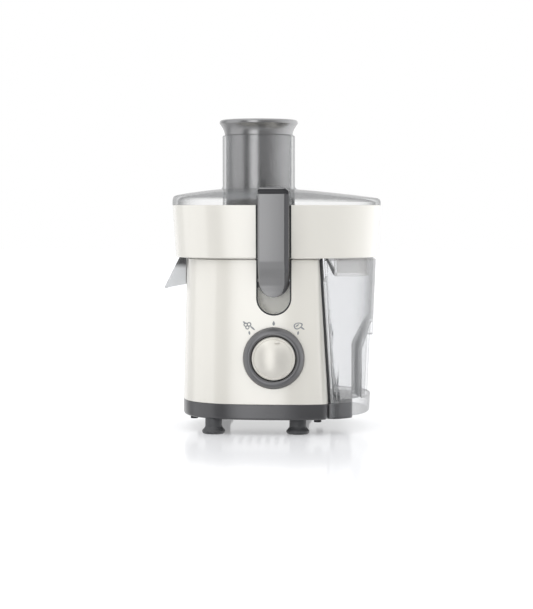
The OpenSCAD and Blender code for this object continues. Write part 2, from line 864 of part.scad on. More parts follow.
module mount_screws()
    color("#a8abb0") at_motor()
        for (p = mount_pads)
            screw_at(p[0], p[1], upper_plate_z, upper_plate_t + mount_h + boss_l - 2);

capacitor_at = [10, 26];
capacitor_size = [26, 11, 18];

module suppression_capacitor()
    color("#c9b458")
        translate([bowl_x + capacitor_at[0], capacitor_at[1], tray_z + tray_wall])
            cube(capacitor_size);

module motor_shaft()
    color("#c8ccd0") at_motor(motor_z - shaft_down)
        cylinder(r = shaft_r, h = shaft_top - motor_z + shaft_down, $fn = 48);

armature_slots = 12;
slot_depth = 8;
slot_half_w = 1.6;
slot_gap = 0.2;
winding_end_h = 6;
winding_in = 1.5;

module armature_core()
    color("#84878b") at_motor(stack_z)
        difference() {
            cylinder(r = armature_d / 2, h = stack_h, $fn = fine);
            translate([0, 0, -1])
                cylinder(r = shaft_r, h = stack_h + 2, $fn = 48);
            for (k = [0:armature_slots - 1])
                rotate(360 * k / armature_slots)
                    block([armature_d / 2 - slot_depth, -slot_half_w, -1],
                          [armature_d / 2 + 1, slot_half_w, stack_h + 1]);
        }

module armature_windings()
    color("#c07838") at_motor() {
        for (end = [0, 1])
            translate([0, 0, end ? stack_z + stack_h : stack_z - winding_end_h])
                tube(armature_d / 2 - winding_in, shaft_r + winding_in, winding_end_h);
        for (k = [0:armature_slots - 1])
            rotate(360 * k / armature_slots)
                block([armature_d / 2 - slot_depth + slot_gap, slot_gap - slot_half_w, stack_z],
                      [armature_d / 2 - winding_in, slot_half_w - slot_gap, stack_z + stack_h]);
    }

commutator_over = 3;
bar_h = 10;

module commutator()
    color("#c58a50") at_motor(brush_z - commutator_over)
        difference() {
            tube(commutator_d / 2, shaft_r, stack_z - winding_end_h - brush_z + commutator_over);
            for (k = [0:armature_slots - 1])
                rotate(360 * k / armature_slots)
                    block([commutator_d / 2 - 1.2, -0.25, -1], [commutator_d / 2 + 1, 0.25, bar_h + 1]);
        }

fan_plate_t = 1.5;
fan_hub_wall = 4;
fan_blade_t = 1.4;

module cooling_fan()
    color("#3a3c3e") at_motor(fan_z)
        difference() {
            union() {
                cylinder(r = fan_r, h = fan_plate_t, $fn = fine);
                cylinder(r = shaft_r + fan_hub_wall, h = fan_h, $fn = 48);
                for (k = [0:fan_blades - 1])
                    rotate(360 * k / fan_blades)
                        block([shaft_r + fan_hub_wall / 2, -fan_blade_t / 2, 0],
                              [fan_r - 1, fan_blade_t / 2, fan_h]);
            }
            translate([0, 0, -1])
                cylinder(r = shaft_r, h = fan_h + 2, $fn = 48);
        }

// ---------------------------------------------------------------- coupling, seal and gland

coupling_r = 12;
coupling_up = 2;
coupling_tooth = 2.5;
coupling_tooth_w = 3;
hub_plate_t = 2.5;
coupling_z = seam_z + coupling_up;
coupling_top = seam_z + disc_up - hub_plate_t - gap;
seal_flange = 2;
seal_low_t = 1.5;
seal_high_t = 1.2;
seal_gap = 1;

module shaft_seal()
    color("#3c3d3f") at_motor()
        rotate_extrude($fn = fine)
            polygon([
                [shaft_r + seal_gap, deck_z - seal_low_t], [seat_hole_r + seal_flange, deck_z - seal_low_t],
                [seat_hole_r + seal_flange, deck_z], [seat_hole_r, deck_z], [seat_hole_r, seam_z],
                [seat_hole_r + seal_flange, seam_z], [seat_hole_r + seal_flange, seam_z + seal_high_t],
                [shaft_r + seal_gap, seam_z + seal_high_t]
            ]);

module drive_coupling()
    color("#e4e0d4") at_motor(coupling_z)
        difference() {
            union() {
                cylinder(r = coupling_r - coupling_tooth, h = coupling_top - coupling_z, $fn = fine);
                for (k = [0:5])
                    rotate(60 * k)
                        block([coupling_r - coupling_tooth - 1.5, -coupling_tooth_w / 2, 0],
                              [coupling_r, coupling_tooth_w / 2, coupling_top - coupling_z]);
            }
            translate([0, 0, -1])
                cylinder(r = shaft_r, h = shaft_top - coupling_z + 1, $fn = 48);
        }

gland_bore_r = 3.6;
gland_flange = 3;
gland_flange_t = 2.2;

module cord_gland()
    color("#3c3d3f") translate([motor_x, 0, gland_z])
        rotate([-90, 0, 0])
            rotate_extrude($fn = 64)
                polygon([
                    [gland_bore_r, gland_in - 2], [gland_r + 2.5, gland_in - 2], [gland_r + 2.5, gland_in],
                    [gland_r, gland_in], [gland_r, gland_out], [gland_r + gland_flange, gland_out],
                    [gland_r + gland_flange - 0.6, gland_out + gland_flange_t],
                    [gland_bore_r, gland_out + gland_flange_t]
                ]);

// ---------------------------------------------------------------- juice bowl and spout

floor_t = 2.5;
filter_z = seam_z + disc_up;
rim_ring_z = filter_z + mesh_h;
chimney_r = 17;
chimney_wall = 2;
chimney_down = 2;
chimney_top = filter_z - hub_plate_t - chimney_down;
well_out = well_r + bowl_wall;
well_down = 0.5;
well_top = rim_ring_z - well_down;
ledge_down = 11;
ledge_z = rim_z - ledge_down;
ledge_t = 2.5;
// The chute starts beyond both the round well and the housing's right wall
chute_gap = 4.6;
chute_wall_gap = 15;
chute_x0 = max(well_out - motor_shift + chute_gap, split_top + chute_wall_gap);
chute_side_gap = 2.6;
chute_inset = container_wall + bowl_wall + chute_side_gap;
chute_half_d = 38;
chute_drop = 16;
chute_low = seam_z - chute_drop;
outlet_half_w = 11;
outlet_h = 11.5;

// The pulp container's outline grown by an amount, between two heights
module container_loft(z0, z1, grow = 0)
    translate([bowl_x, 0, 0])
        loft([
            for (z = [z0, z1])
                plan_ring(container_a(z) + grow, housing_b(z) + grow, no_wall, z)
        ]);

// Outline of the duct that drops the pulp into the container, grown by an amount
module chute_outline(grow)
    translate([bowl_x, 0])
        intersection() {
            polygon([
                for (p = plan_ring(container_a(chute_low) - chute_inset + grow,
                                   housing_b(chute_low) - chute_inset + grow, no_wall, 0))
                    [p[0], p[1]]
            ]);
            translate([chute_x0 - grow, -chute_half_d - grow])
                square([container_half_w, 2 * (chute_half_d + grow)]);
        }

module chute_duct(grow, z0, z1)
    translate([0, 0, z0])
        linear_extrude(z1 - z0)
            chute_outline(grow);

module juice_bowl()
    color("#f6f3ea") difference() {
        union() {
            // skirt, and the ledge that carries the pulp round to the chute
            translate([bowl_x, 0, 0])
                loop_loft(concat(
                    [for (z = bowl_levels) bowl_ring(0, z)],
                    [
                        bowl_ring(-bowl_wall, rim_z), bowl_ring(-bowl_wall, ledge_z),
                        round_ring(well_r + bowl_wall / 2, ledge_z),
                        round_ring(well_r + bowl_wall / 2, ledge_z - ledge_t),
                        bowl_ring(-bowl_wall, ledge_z - ledge_t), bowl_ring(-bowl_wall, seam_z)
                    ]
                ));
            at_motor(seam_z) {
                tube(well_out, well_r, well_top - seam_z);
                tube(well_out, chimney_r, floor_t);
                tube(chimney_r + chimney_wall, chimney_r, chimney_top - seam_z);
            }
            chute_duct(bowl_wall, chute_low, ledge_z - ledge_t / 2);
        }
        chute_duct(0, chute_low - 1, rim_z);
        // juice outlet through the well's wall
        block([motor_x - well_out - 1, -outlet_half_w, seam_z + floor_t],
              [motor_x - well_r + 3, outlet_half_w, seam_z + floor_t + outlet_h]);
    }

// The spout is an open trough that hangs below the outlet: its floor falls gently to the lip, and its
// sides fall steeply from the bowl's underside to the lip.
spout_half_w = 13;
spout_wall = 1.8;
spout_top_l = 5.3;
spout_l = 18.8;
spout_low_drop = 24;
spout_lip_drop = 27.4;
spout_low = seam_z - spout_low_drop;
spout_lip = seam_z - spout_lip_drop;
spout_back = housing_a(spout_low) + gap - 0.02;
spout_top_out = spout_back + spout_top_l;
spout_tip = spout_back + spout_l;

module spout_profile(half_w, points)
    translate([bowl_x, half_w, 0])
        rotate([90, 0, 0])
            linear_extrude(2 * half_w)
                polygon(points);

module spout()
    color("#d9dcdc") difference() {
        spout_profile(spout_half_w, [
            [-spout_back, seam_z], [-spout_top_out, seam_z], [-spout_tip + 0.6, spout_lip + 2],
            [-spout_tip, spout_lip + 0.6], [-spout_tip + 1.4, spout_lip - 0.6],
            [-spout_tip + 4, spout_lip + 0.6], [-spout_back, spout_low]
        ]);
        spout_profile(spout_half_w - spout_wall, [
            [-spout_back - spout_wall, seam_z + 1], [-spout_tip - 10, seam_z + 1],
            [-spout_tip - 10, spout_lip + 1.6], [-spout_tip + 2, spout_lip + 1.6],
            [-spout_back - spout_wall, spout_low + spout_wall]
        ]);
    }

// Dark blade beside the chute: it leans from the bowl's underside against the duct's wall
lip_half_d = 30;
lip_reach = 8.1;
lip_edge_t = 1.8;

module pulp_chute_lip()
    color("#55575a") translate([bowl_x + chute_x0 - bowl_wall, lip_half_d, 0])
        rotate([90, 0, 0])
            linear_extrude(2 * lip_half_d)
                polygon([
                    [-lip_reach, seam_z], [-lip_reach + lip_edge_t, seam_z], [0, chute_low + 4.6],
                    [0, chute_low + 0.6], [-1.2, chute_low + 1.6]
                ]);

// ---------------------------------------------------------------- lid and pusher

tube_out = tube_bore / 2 + tube_wall;
disc_t = 0.8;
feed_gap = 1.8;
pusher_low = filter_z + disc_t + tooth_h + feed_gap;
tube_low_up = 1.5;
tube_low = pusher_low + tube_low_up;
clamp_reach = bowl_half_d + clamp_stand + clamp_t;
catch_h = 3;
catch_z = lid_edge_z + catch_h;
catch_half_w = clamp_w / 2 + 1;
catch_in = clamp_reach - hook_reach - 2;
lip_drop = 4;
lip_t = 1.8;
lip_out = bowl_wall + gap;

// Ring of the dome: the feed tube's circle at share 0 and the bowl's outline at share 1
function lid_ring(share, shrink, z) =
    let (outer = plan_ring(bowl_half_w - shrink, bowl_half_d - shrink, no_wall, z),
         inner = round_ring(tube_out - 1, z))
    [for (i = [0:plan_steps - 1]) share * outer[i] + (1 - share) * inner[i]];

function dome_z(share) = lid_edge_z + dome_rise * pow(1 - share, 0.75);
dome_shares = [0.98, 0.85, 0.55, 0.25, 0];

module lid()
    color("#dfe6e8") difference() {
        union() {
            // the edge rests on the bowl, its lip hangs inside, and the dome rises to the tube
            translate([bowl_x, 0, 0])
                loop_loft(concat(
                    [
                        lid_ring(1, lip_out + lip_t, rim_z - lip_drop), lid_ring(1, lip_out, rim_z - lip_drop),
                        lid_ring(1, lip_out, rim_z), lid_ring(1, 0, rim_z),
                        lid_ring(1, 0.3, lid_edge_z - 1.5)
                    ],
                    [for (share = dome_shares) lid_ring(share, 0, dome_z(share))],
                    [
                        for (k = [len(dome_shares) - 1:-1:1])
                            lid_ring(dome_shares[k], lid_wall, dome_z(dome_shares[k]) - lid_wall)
                    ],
                    [lid_ring(1, lip_out + lip_t, lid_edge_z - lid_wall)]
                ));
            at_motor(tube_low)
                cylinder(r = tube_out, h = tube_top - tube_low, $fn = fine);
            // catches under the clamps' hooks
            for (rear = [false, true])
                side(rear)
                    block([bowl_x - catch_half_w, -bowl_half_d + 1.2, lid_edge_z - 2],
                          [bowl_x + catch_half_w, -catch_in, catch_z]);
        }
        at_motor(tube_low - 1)
            cylinder(r = tube_bore / 2, h = tube_top - tube_low + 2, $fn = fine);
    }

pusher_r = tube_bore / 2 - pusher_gap;
// The head flares in a hollow curve, so half way up it has gained a third of its flare
head_middle_d = head_low_d + (head_top_d - head_low_d) / 3;
pusher_floor = 2.6;
pusher_edge = 1.5;
head_edge = 2;

module pusher()
    color("#4c4e51") at_motor()
        rotate_extrude($fn = fine)
            polygon([
                [0, pusher_low], [pusher_r - pusher_edge, pusher_low], [pusher_r, pusher_low + pusher_edge],
                [pusher_r, tube_top + gap], [head_low_d / 2, tube_top + gap],
                [head_low_d / 2, tube_top + gap + 1], [head_middle_d / 2, tube_top + gap + head_h / 2],
                [head_top_d / 2, pusher_top - head_edge - 0.5], [head_top_d / 2 - 0.6, pusher_top - 0.7],
                [head_top_d / 2 - head_edge, pusher_top], [pusher_r - pusher_wall + 1, pusher_top],
                [pusher_r - pusher_wall, pusher_top - head_edge], [pusher_r - pusher_wall, pusher_low + pusher_floor],
                [0, pusher_low + pusher_floor]
            ]);

// ---------------------------------------------------------------- clamps

hook_in = clamp_reach - hook_reach;
hook_z = catch_z + gap;
clamp_top = hook_z + hook_t;
knuckle_r = 4.5;
toe_out = 5.1;
toe_t = 3;
toe_drop = 1.2;
toe_z = pin_z - clamp_w / 2 - toe_drop;
arm_in = clamp_reach - clamp_t;

// Seen from the side: distance from the middle plane, and height
module clamp_side()
    difference() {
        polygon([
            [hook_in, hook_z], [hook_in, clamp_top], [clamp_reach - 2.6, clamp_top],
            [clamp_reach, clamp_top - 4], [clamp_reach, seam_z + 1], [clamp_reach - 1.6, seam_z - 4],
            [pin_out + 10, pin_z + 3], [pin_out + 6.9, pin_z - 4],
            [pin_out + toe_out, toe_z], [pin_out + toe_out - toe_t, toe_z],
            [pin_out - knuckle_r, pin_z - 1], [pin_out - knuckle_r, pin_z + 1],
            [pin_out - knuckle_r + 1.4, pin_z + 3.6], [pin_out + 7.5, pin_z + 10], [arm_in - 1.2, seam_z],
            [arm_in, seam_z + 3], [arm_in, hook_z]
        ]);
        translate([pin_out, pin_z])
            circle(pin_r + run_gap, $fn = 32);
    }

// Seen from the front
module clamp_front() {
    translate([0, toe_z + clamp_w / 2])
        circle(clamp_w / 2, $fn = 64);
    translate([-clamp_w / 2, toe_z + clamp_w / 2])
        square([clamp_w, clamp_top - pin_z + toe_drop + 1]);
}

module clamp(rear)
    color("#8e9092") side(rear)
        translate([bowl_x, 0, 0])
            intersection() {
                translate([clamp_w / 2, 0, 0])
                    rotate([90, 0, -90])
                        linear_extrude(clamp_w)
                            clamp_side();
                rotate([90, 0, 0])
                    linear_extrude(clamp_reach + 1)
                        clamp_front();
            }

// ---------------------------------------------------------------- pulp container

container_up = 2.3;
container_down = 2;
shelf_top_gap = 0.6;
container_low = tray_z + container_up;
container_top = seam_z - container_down;
container_floor = tray_top + shelf_top_gap;
container_floor_t = 2.4;
left_wall_down = 4;
left_wall_top = chute_low - left_wall_down;
foot_mouth_room = 2;
foot_mouth = shelf_half_d + foot_mouth_room;

// Everything to the right of the housing's slanted wall, set off by an amount
module right_of_wall(off)
    translate([bowl_x + split_low + off, 0, tray_top])
        rotate([0, -atan((split_low - split_top) / housing_h), 0])
            block([0, -bowl_half_d, -tray_top - 20], [bowl_half_w, bowl_half_d, seam_z]);

pocket_run = 14;

// Finger pockets at the outer end, on both sides of the grip rib
module grip_pockets(grow)
    for (v = [0, 1])
        mirror([0, v, 0])
            translate([bowl_x, bowl_half_d + rib_half_w - grow, 0])
                rotate([90, 0, 0])
                    linear_extrude(bowl_half_d)
                        polygon([
                            [pocket_x - grow, -10], [pocket_x - grow, pocket_z + grow],
                            [pocket_x + pocket_run, pocket_z + pocket_rise + grow],
                            [bowl_half_w + 10, pocket_z + pocket_rise + grow], [bowl_half_w + 10, -10]
                        ]);

rib_up = 8;

// The rib's outer end stands back from the container's side
module rib_end(grow)
    difference() {
        translate([bowl_x, 0, 0])
            block([pocket_x, -rib_half_w - 5, -10], [bowl_half_w + 10, rib_half_w + 5, pocket_z + rib_up + grow]);
        container_loft(container_low - 1, container_top, -rib_inset - grow);
    }

module container_shape(inset, z0, z1)
    difference() {
        intersection() {
            container_loft(z0, z1, -inset);
            right_of_wall(container_gap + inset);
        }
        grip_pockets(inset);
        rib_end(inset);
    }

module pulp_container()
    color("#e2e6e6") difference() {
        container_shape(0, container_low, container_top);
        container_shape(container_wall, container_floor + container_floor_t, container_top + 1);
        // the left wall stays low, so that it passes below the chute
        block([0, -shelf_half_d, left_wall_top],
              [bowl_x + split_low + container_gap + container_wall, shelf_half_d, container_top + 1]);
        // hollow foot over the tray's shelf, open to the left
        container_shape(container_wall, container_low - 1, container_floor);
        block([0, -foot_mouth, 0],
              [bowl_x + split_low + container_gap + container_wall + 1, foot_mouth, container_floor]);
    }

// ---------------------------------------------------------------- filter basket

hub_ring_r = 16;
hub_skirt_r = 20.5;
hub_skirt_t = 2;
hub_skirt_up = 6;
hub_ring_up = 4;
disc_border = 2;
mesh_t = 0.7;
mesh_seat = 0.2;
rim_lap = 1.5;
rim_drop = 3;
rim_t = 1.5;
rim_step = 1;
rim_wall = 2.2;

module filter_hub()
    color("#e4e0d4") at_motor()
        rotate_extrude($fn = fine)
            polygon([
                [0, filter_z - hub_plate_t], [coupling_r + gap, filter_z - hub_plate_t],
                [coupling_r + gap, seam_z + hub_ring_up], [hub_ring_r, seam_z + hub_ring_up],
                [hub_ring_r, filter_z - hub_plate_t], [hub_skirt_r, filter_z - hub_plate_t],
                [hub_skirt_r, seam_z + hub_skirt_up], [hub_skirt_r + hub_skirt_t, seam_z + hub_skirt_up],
                [hub_skirt_r + hub_skirt_t, filter_z - hub_plate_t],
                [disc_r + disc_border, filter_z - hub_plate_t], [disc_r + disc_border, filter_z],
                [0, filter_z]
            ]);

tooth_in = 3;
tooth_pitch = 7;
tooth_r = 1;

module grating_disc()
    color("#c4c8cc") at_motor(filter_z) {
        cylinder(r = disc_r, h = disc_t, $fn = fine);
        for (ring = [1:tooth_rings])
            let (r = disc_r - tooth_in - tooth_pitch * (ring - 1), count = max(6, floor(r * 0.7)))
            for (k = [0:count - 1])
                rotate(360 * (k + ring / 2) / count)
                    translate([r, 0, disc_t - eps])
                        cylinder(r1 = tooth_r, r2 = tooth_r / 4, h = tooth_h, $fn = 4);
    }

module filter_mesh()
    color("#b8bcc0") at_motor(filter_z)
        rotate_extrude($fn = fine)
            polygon([
                [disc_r + mesh_seat, 0], [disc_r + mesh_seat + mesh_t, 0], [mesh_top_r, mesh_h],
                [mesh_top_r - mesh_t, mesh_h]
            ]);

module filter_rim()
    color("#e4e0d4") at_motor(rim_ring_z)
        rotate_extrude($fn = fine)
            polygon([
                [mesh_top_r - rim_lap, 0], [mesh_top_r + gap, 0], [mesh_top_r + gap, -rim_drop],
                [mesh_top_r + gap + rim_wall, -rim_drop], [mesh_top_r + gap + rim_wall, rim_step],
                [rim_flange_r, rim_step], [rim_flange_r, rim_step + rim_t],
                [mesh_top_r - rim_lap, rim_step + rim_t]
            ]);

motor_housing();
base_tray();
foot(-1, -1);  // foot_front_left
foot(1, -1);  // foot_front_right
foot(-1, 1);  // foot_rear_left
foot(1, 1);  // foot_rear_right
housing_screws();
recess_plate(false);  // front_recess_plate
recess_plate(true);  // rear_recess_plate
clamp_pin(false);  // front_clamp_pin
clamp_pin(true);  // rear_clamp_pin
knob_bezel();
speed_switch();
switch_nut();
dial_marks();
safety_switches();
motor_lower_bracket();
motor_upper_bracket();
bearing(motor_z);  // lower_bearing
bearing(upper_bearing_z);  // upper_bearing
stator_core();
field_coils();
brush_holders();
carbon_brushes();
brush_springs();
motor_screws();
motor_mounts();
mount_screws();
suppression_capacitor();
shaft_seal();
cord_gland();
juice_bowl();
spout();
pulp_chute_lip();
lid();
pusher();
knob_cap();
knob_spindle();
clamp(false);  // front_clamp
clamp(true);  // rear_clamp
pulp_container();
motor_shaft();
armature_core();
armature_windings();
commutator();
cooling_fan();
drive_coupling();
filter_hub();
grating_disc();
filter_mesh();
filter_rim();
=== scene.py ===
"""Centrifugal juicer: its shells, controls, clear parts and finishes, built round the fixed frame.

Lengths inside the functions are millimetres and become metres when a mesh is made. The vertical
axis of the bowl is at BOWL_X and the motor's at MOTOR_X; the front faces -Y.
"""

import json
import math
from functools import partial

import bmesh
import bpy
import numpy as np
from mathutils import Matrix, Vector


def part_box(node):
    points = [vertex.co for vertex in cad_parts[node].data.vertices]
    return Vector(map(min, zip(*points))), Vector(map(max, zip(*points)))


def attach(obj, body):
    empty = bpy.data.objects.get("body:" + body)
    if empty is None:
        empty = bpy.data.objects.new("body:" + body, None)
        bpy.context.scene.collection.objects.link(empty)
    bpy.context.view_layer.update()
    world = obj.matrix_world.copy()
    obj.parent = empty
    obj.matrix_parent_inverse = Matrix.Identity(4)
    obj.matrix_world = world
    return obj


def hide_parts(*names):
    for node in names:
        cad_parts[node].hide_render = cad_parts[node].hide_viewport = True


bl_info = {
    "name": "Centrifugal Juicer",
    "version": (1, 0, 0),
    "blender": (4, 5, 0),
    "location": "3D View > Sidebar > Juicer",
    "description": "Builds the shells, controls and finishes of a centrifugal juicer",
    "category": "Add Mesh",
}

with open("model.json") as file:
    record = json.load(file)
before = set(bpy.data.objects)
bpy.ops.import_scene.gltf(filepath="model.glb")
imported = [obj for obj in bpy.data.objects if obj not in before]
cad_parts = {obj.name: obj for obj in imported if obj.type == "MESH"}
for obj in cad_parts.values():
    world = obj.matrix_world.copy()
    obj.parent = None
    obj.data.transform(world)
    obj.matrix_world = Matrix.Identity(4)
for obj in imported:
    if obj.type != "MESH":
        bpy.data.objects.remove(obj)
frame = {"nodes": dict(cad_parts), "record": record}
MM = 0.001
NODE_SLOT = {row["node"]: row["material_slot"] for row in frame["record"]["subparts"]}
NODE_BODY = {
    node: body for body, nodes in frame["record"]["behaviour"]["bodies"].items() for node in nodes
}


def edge(node, axis, end):
    """Lowest (end 0) or highest (end 1) coordinate of a frame node along an axis, in millimetres."""
    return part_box(node)[end][axis] / MM


def middle(node, axis):
    return (edge(node, axis, 0) + edge(node, axis, 1)) / 2


# Heights and axes that the frame fixes
BOWL_X = middle("juice_bowl", 0)
MOTOR_X = middle("motor_shaft", 0)
TRAY_Z = edge("base_tray", 2, 0)
TRAY_TOP = edge("base_tray", 2, 1)
SEAM_Z = edge("motor_housing", 2, 1)
RIM_Z = edge("juice_bowl", 2, 1)
TUBE_LOW = edge("lid", 2, 0)
TUBE_TOP = edge("lid", 2, 1)
PUSHER_LOW = edge("pusher", 2, 0)
PUSHER_TOP = edge("pusher", 2, 1)
FILTER_Z = edge("grating_disc", 2, 0)
CLAMP_TOP = edge("front_clamp", 2, 1)
PIN_Z = middle("front_clamp_pin", 2)
KNOB_Z = middle("knob_bezel", 2)
DIAL_SEAT = -edge("knob_bezel", 1, 1)
DUCT_LOW = edge("juice_bowl", 2, 0)
CONTAINER_LOW = edge("pulp_container", 2, 0)
CONTAINER_TOP = edge("pulp_container", 2, 1)
EDGE_Z = RIM_Z + 5
DECK_Z = SEAM_Z - 3
LEDGE_Z = RIM_Z - 11
WELL_TOP = FILTER_Z + 21.5

TURN = np.linspace(0, 2 * np.pi, 256, endpoint=False)
CORNER_BLEND = 30
# Share of the housing's flare that its front and rear have
DEPTH_FLARE = 0.8
TRAY_WALL = 2.6
# Further out than any outline
BEYOND = 500
ENDS = ((-1, "front"), (1, "rear"))


def srgb(red, green, blue):
    """A colour picked on screen, 0 to 255, as the linear colour a shader takes."""
    value = np.array([red, green, blue]) / 255
    return tuple(np.where(value <= 0.04045, value / 12.92, ((value + 0.055) / 1.055) ** 2.4))


def opaque(*screen):
    return (*srgb(*screen), 1.0)


# ---- sizes and colours


def length(label, about, value):
    return bpy.props.FloatProperty(
        name=label, description=about, default=value * MM, min=0, unit="LENGTH", precision=4
    )


def colour(label, about, *screen):
    return bpy.props.FloatVectorProperty(
        name=label, description=about, default=srgb(*screen), size=3, min=0, max=1, subtype="COLOR"
    )


class JuicerSizes(bpy.types.PropertyGroup):
    bowl_half_w: length("Bowl half width", "Half width of the bowl's rim", 91)
    bowl_half_d: length("Bowl half depth", "Half depth of the bowl's rim", 75)
    bowl_taper: length("Bowl taper", "How far the bowl's sides draw in towards the seam", 3)
    bowl_edge: length("Bowl edge", "Radius under the bowl's lower edge", 1.4)
    bowl_wall: length("Bowl wall", "Wall of the bowl", 2.4)
    housing_half_w: length("Housing half width", "Half width of the housing at the seam", 78.3)
    housing_half_d: length("Housing half depth", "Half depth of the housing at the seam", 67.5)
    housing_flare: length("Housing flare", "How far the housing flares towards the tray", 3.2)
    housing_wall: length("Housing wall", "Wall of the housing", 2.6)
    split_top: length("Right wall, top", "Bowl's middle to the housing's right wall, above", 38)
    split_low: length("Right wall, foot", "Bowl's middle to the housing's right wall, below", 46)
    container_half_w: length("Container half width", "Half width of the container's top", 87)
    container_taper: length("Container taper", "How far its outer side draws in downwards", 5)
    container_wall: length("Container wall", "Wall of the pulp container", 2.2)
    container_gap: length("Container gap", "Gap between the housing and the container", 2.3)
    dome_rise: length("Dome rise", "Rise of the lid's dome", 9)
    lid_wall: length("Lid wall", "Wall of the clear lid", 2.2)
    tube_bore: length("Tube bore", "Bore of the feed tube", 57.6)
    tube_wall: length("Tube wall", "Wall of the feed tube", 2.9)
    pusher_gap: length("Pusher gap", "Clearance between the pusher and the tube", 0.7)
    head_low_r: length("Head foot radius", "Radius of the pusher's head at its foot", 29.8)
    head_top_r: length("Head radius", "Radius of the pusher's head at its top", 34.3)
    clamp_w: length("Clamp width", "Width of a clamp's arm", 26)
    clamp_reach: length("Clamp reach", "Clamp's outer face to the middle plane", 82)
    recess_gap: length("Recess gap", "Side gap between a clamp and its recess", 1.9)
    recess_drop: length("Recess drop", "Drop of the recess's lower end below the seam", 46.2)
    recess_back: length("Recess back", "Recess's back plate to the middle plane", 51.5)
    # The trim is a dark band that paints the shadow gap round a recess's mouth
    shade_trim_w: length("Recess trim", "Width of the dark trim round a clamp's recess", 1.3)
    bezel_r: length("Bezel radius", "Outer radius of the dial's bezel", 26)
    cap_r: length("Cap radius", "Radius of the knob's cap", 18.4)
    marks_r: length("Marks radius", "Radius of the circle of dial marks", 29.6)
    disc_r: length("Grating radius", "Radius of the grating disc", 43)
    well_r: length("Well radius", "Inner radius of the bowl's round well", 62)
    foot_r: length("Foot radius", "Radius of a foot's pad", 9.9)
    foot_neck_r: length("Foot neck radius", "Radius of a foot's neck", 7.2)
    squareness: bpy.props.FloatProperty(
        name="Squareness", description="2 is an ellipse, more is squarer", default=2.8, min=2, max=5
    )
    marks_turn: bpy.props.FloatProperty(
        name="Marks turn", description="Angle from the top mark to a side mark",
        default=math.radians(44), subtype="ANGLE"
    )
    tooth_rings: bpy.props.IntProperty(
        name="Rings of teeth", description="Rings of teeth on the grating disc", default=5, min=1
    )


class JuicerColours(bpy.types.PropertyGroup):
    cream: colour("Cream", "Housing and bowl", 241, 238, 229)
    knob: colour("Knob", "Knob cap", 229, 226, 218)
    tray: colour("Tray", "Dark tray", 88, 88, 90)
    pusher: colour("Pusher", "Pusher", 152, 152, 153)
    bezel: colour("Bezel", "Ring round the knob", 114, 114, 116)
    clamp: colour("Clamp", "Clamp arms", 144, 144, 145)
    # Near white, to make up for the light that does not reach the plates deep in the recesses: painted light
    plate: colour("Plate", "Recess back plates", 253, 253, 249)
    clear: colour("Clear", "Lid and pulp container", 178, 180, 182)
    clear_edge: colour("Clear edge", "Outlines of the clear parts", 66, 68, 70)
    smoke: colour("Smoke", "Spout", 226, 228, 230)
    print_grey: colour("Print", "Dial marks", 104, 104, 106)


def size(name):
    """A value from the panel; a length is in metres."""
    return getattr(bpy.context.scene.juicer_sizes, name)


def mm(name):
    return size(name) / MM


def tint(name):
    return (*getattr(bpy.context.scene.juicer_colours, name), 1.0)


# ---- outlines and profiles


def superellipse(cos, sin, half_w, half_d):
    """|cos / a|^n + |sin / b|^n, and n. The distance from the axis is its -1/n th power."""
    power = size("squareness")
    return np.abs(cos / half_w) ** power + np.abs(sin / half_d) ** power, power


def plan(half_w, half_d, height, wall=None):
    """Rings of the body's plan outline, one for each height. It is a superellipse. A flat wall on
    the right is joined to it by a power mean, which rounds the corners between the two."""
    half_w, half_d, height = np.broadcast_arrays(*np.atleast_1d(half_w, half_d, height))
    cos, sin = np.cos(TURN), np.sin(TURN)
    curve, power = superellipse(cos, sin, half_w[:, None], half_d[:, None])
    curve = curve ** (CORNER_BLEND / power)
    if wall is not None:
        curve = curve + (np.maximum(cos, 0) / np.reshape(wall, (-1, 1))) ** CORNER_BLEND
    radius = curve ** (-1 / CORNER_BLEND)
    level = np.broadcast_to(height[:, None], radius.shape)
    return np.stack([BOWL_X + radius * cos, radius * sin, level], -1)


def circles(radius, height):
    """Rings round the motor's axis: radius times (cos, sin) at each height."""
    radius, height = np.broadcast_arrays(*np.atleast_1d(radius, height))
    flat = radius[:, None]
    level = np.broadcast_to(height[:, None], (len(radius), len(TURN)))
    return np.stack([MOTOR_X + flat * np.cos(TURN), flat * np.sin(TURN), level], -1)


def share_down(height):
    """0 at the seam and 1 at the tray's top."""
    return (SEAM_Z - height) / (SEAM_Z - TRAY_TOP)


def housing_half(height, grow=0.0):
    """Half width and half depth of the housing, which flares linearly towards the tray."""
    flare = mm("housing_flare") * share_down(height)
    return mm("housing_half_w") + flare + grow, mm("housing_half_d") + DEPTH_FLARE * flare + grow


def container_half(height, inset):
    """Half width and half depth of the container's outline, set in by an amount."""
    half_w = mm("container_half_w") - mm("container_taper") * share_down(height) - inset
    return half_w, housing_half(height, -inset)[1]


def split_out(height):
    """From the bowl's middle to the housing's right wall, which slants."""
    return mm("split_top") + (mm("split_low") - mm("split_top")) * share_down(height)


def depth_at(across, half_w, half_d):
    """Half depth of an outline at a distance across it: b (1 - |x / a|^n)^(1/n)."""
    power = size("squareness")
    return half_d * (1 - np.abs(across / half_w) ** power) ** (1 / power)


def front_out(x, z):
    """Distance of the housing's front from the middle plane."""
    return depth_at(x - BOWL_X, *housing_half(z))


def bowl_loss(height):
    """What the bowl's half width loses at a height: its draft, and the quarter round below."""
    up = height - SEAM_Z
    radius = mm("bowl_edge")
    low = np.minimum(up, radius) - radius
    draft = mm("bowl_taper") * (1 - up / (RIM_Z - SEAM_Z))
    return draft + radius - np.sqrt(radius**2 - low**2)


def bowl_rings(profile, share, round_part):
    """Rings between the bowl's outline, set off by the profile's first column, and a circle: share
    of the one and the rest of the other, at the heights in its second column."""
    share = share[:, None, None]
    half_w, half_d = mm("bowl_half_w") + profile[:, 0], mm("bowl_half_d") + profile[:, 0]
    return share * plan(half_w, half_d, profile[:, 1]) + (1 - share) * circles(round_part, profile[:, 1])


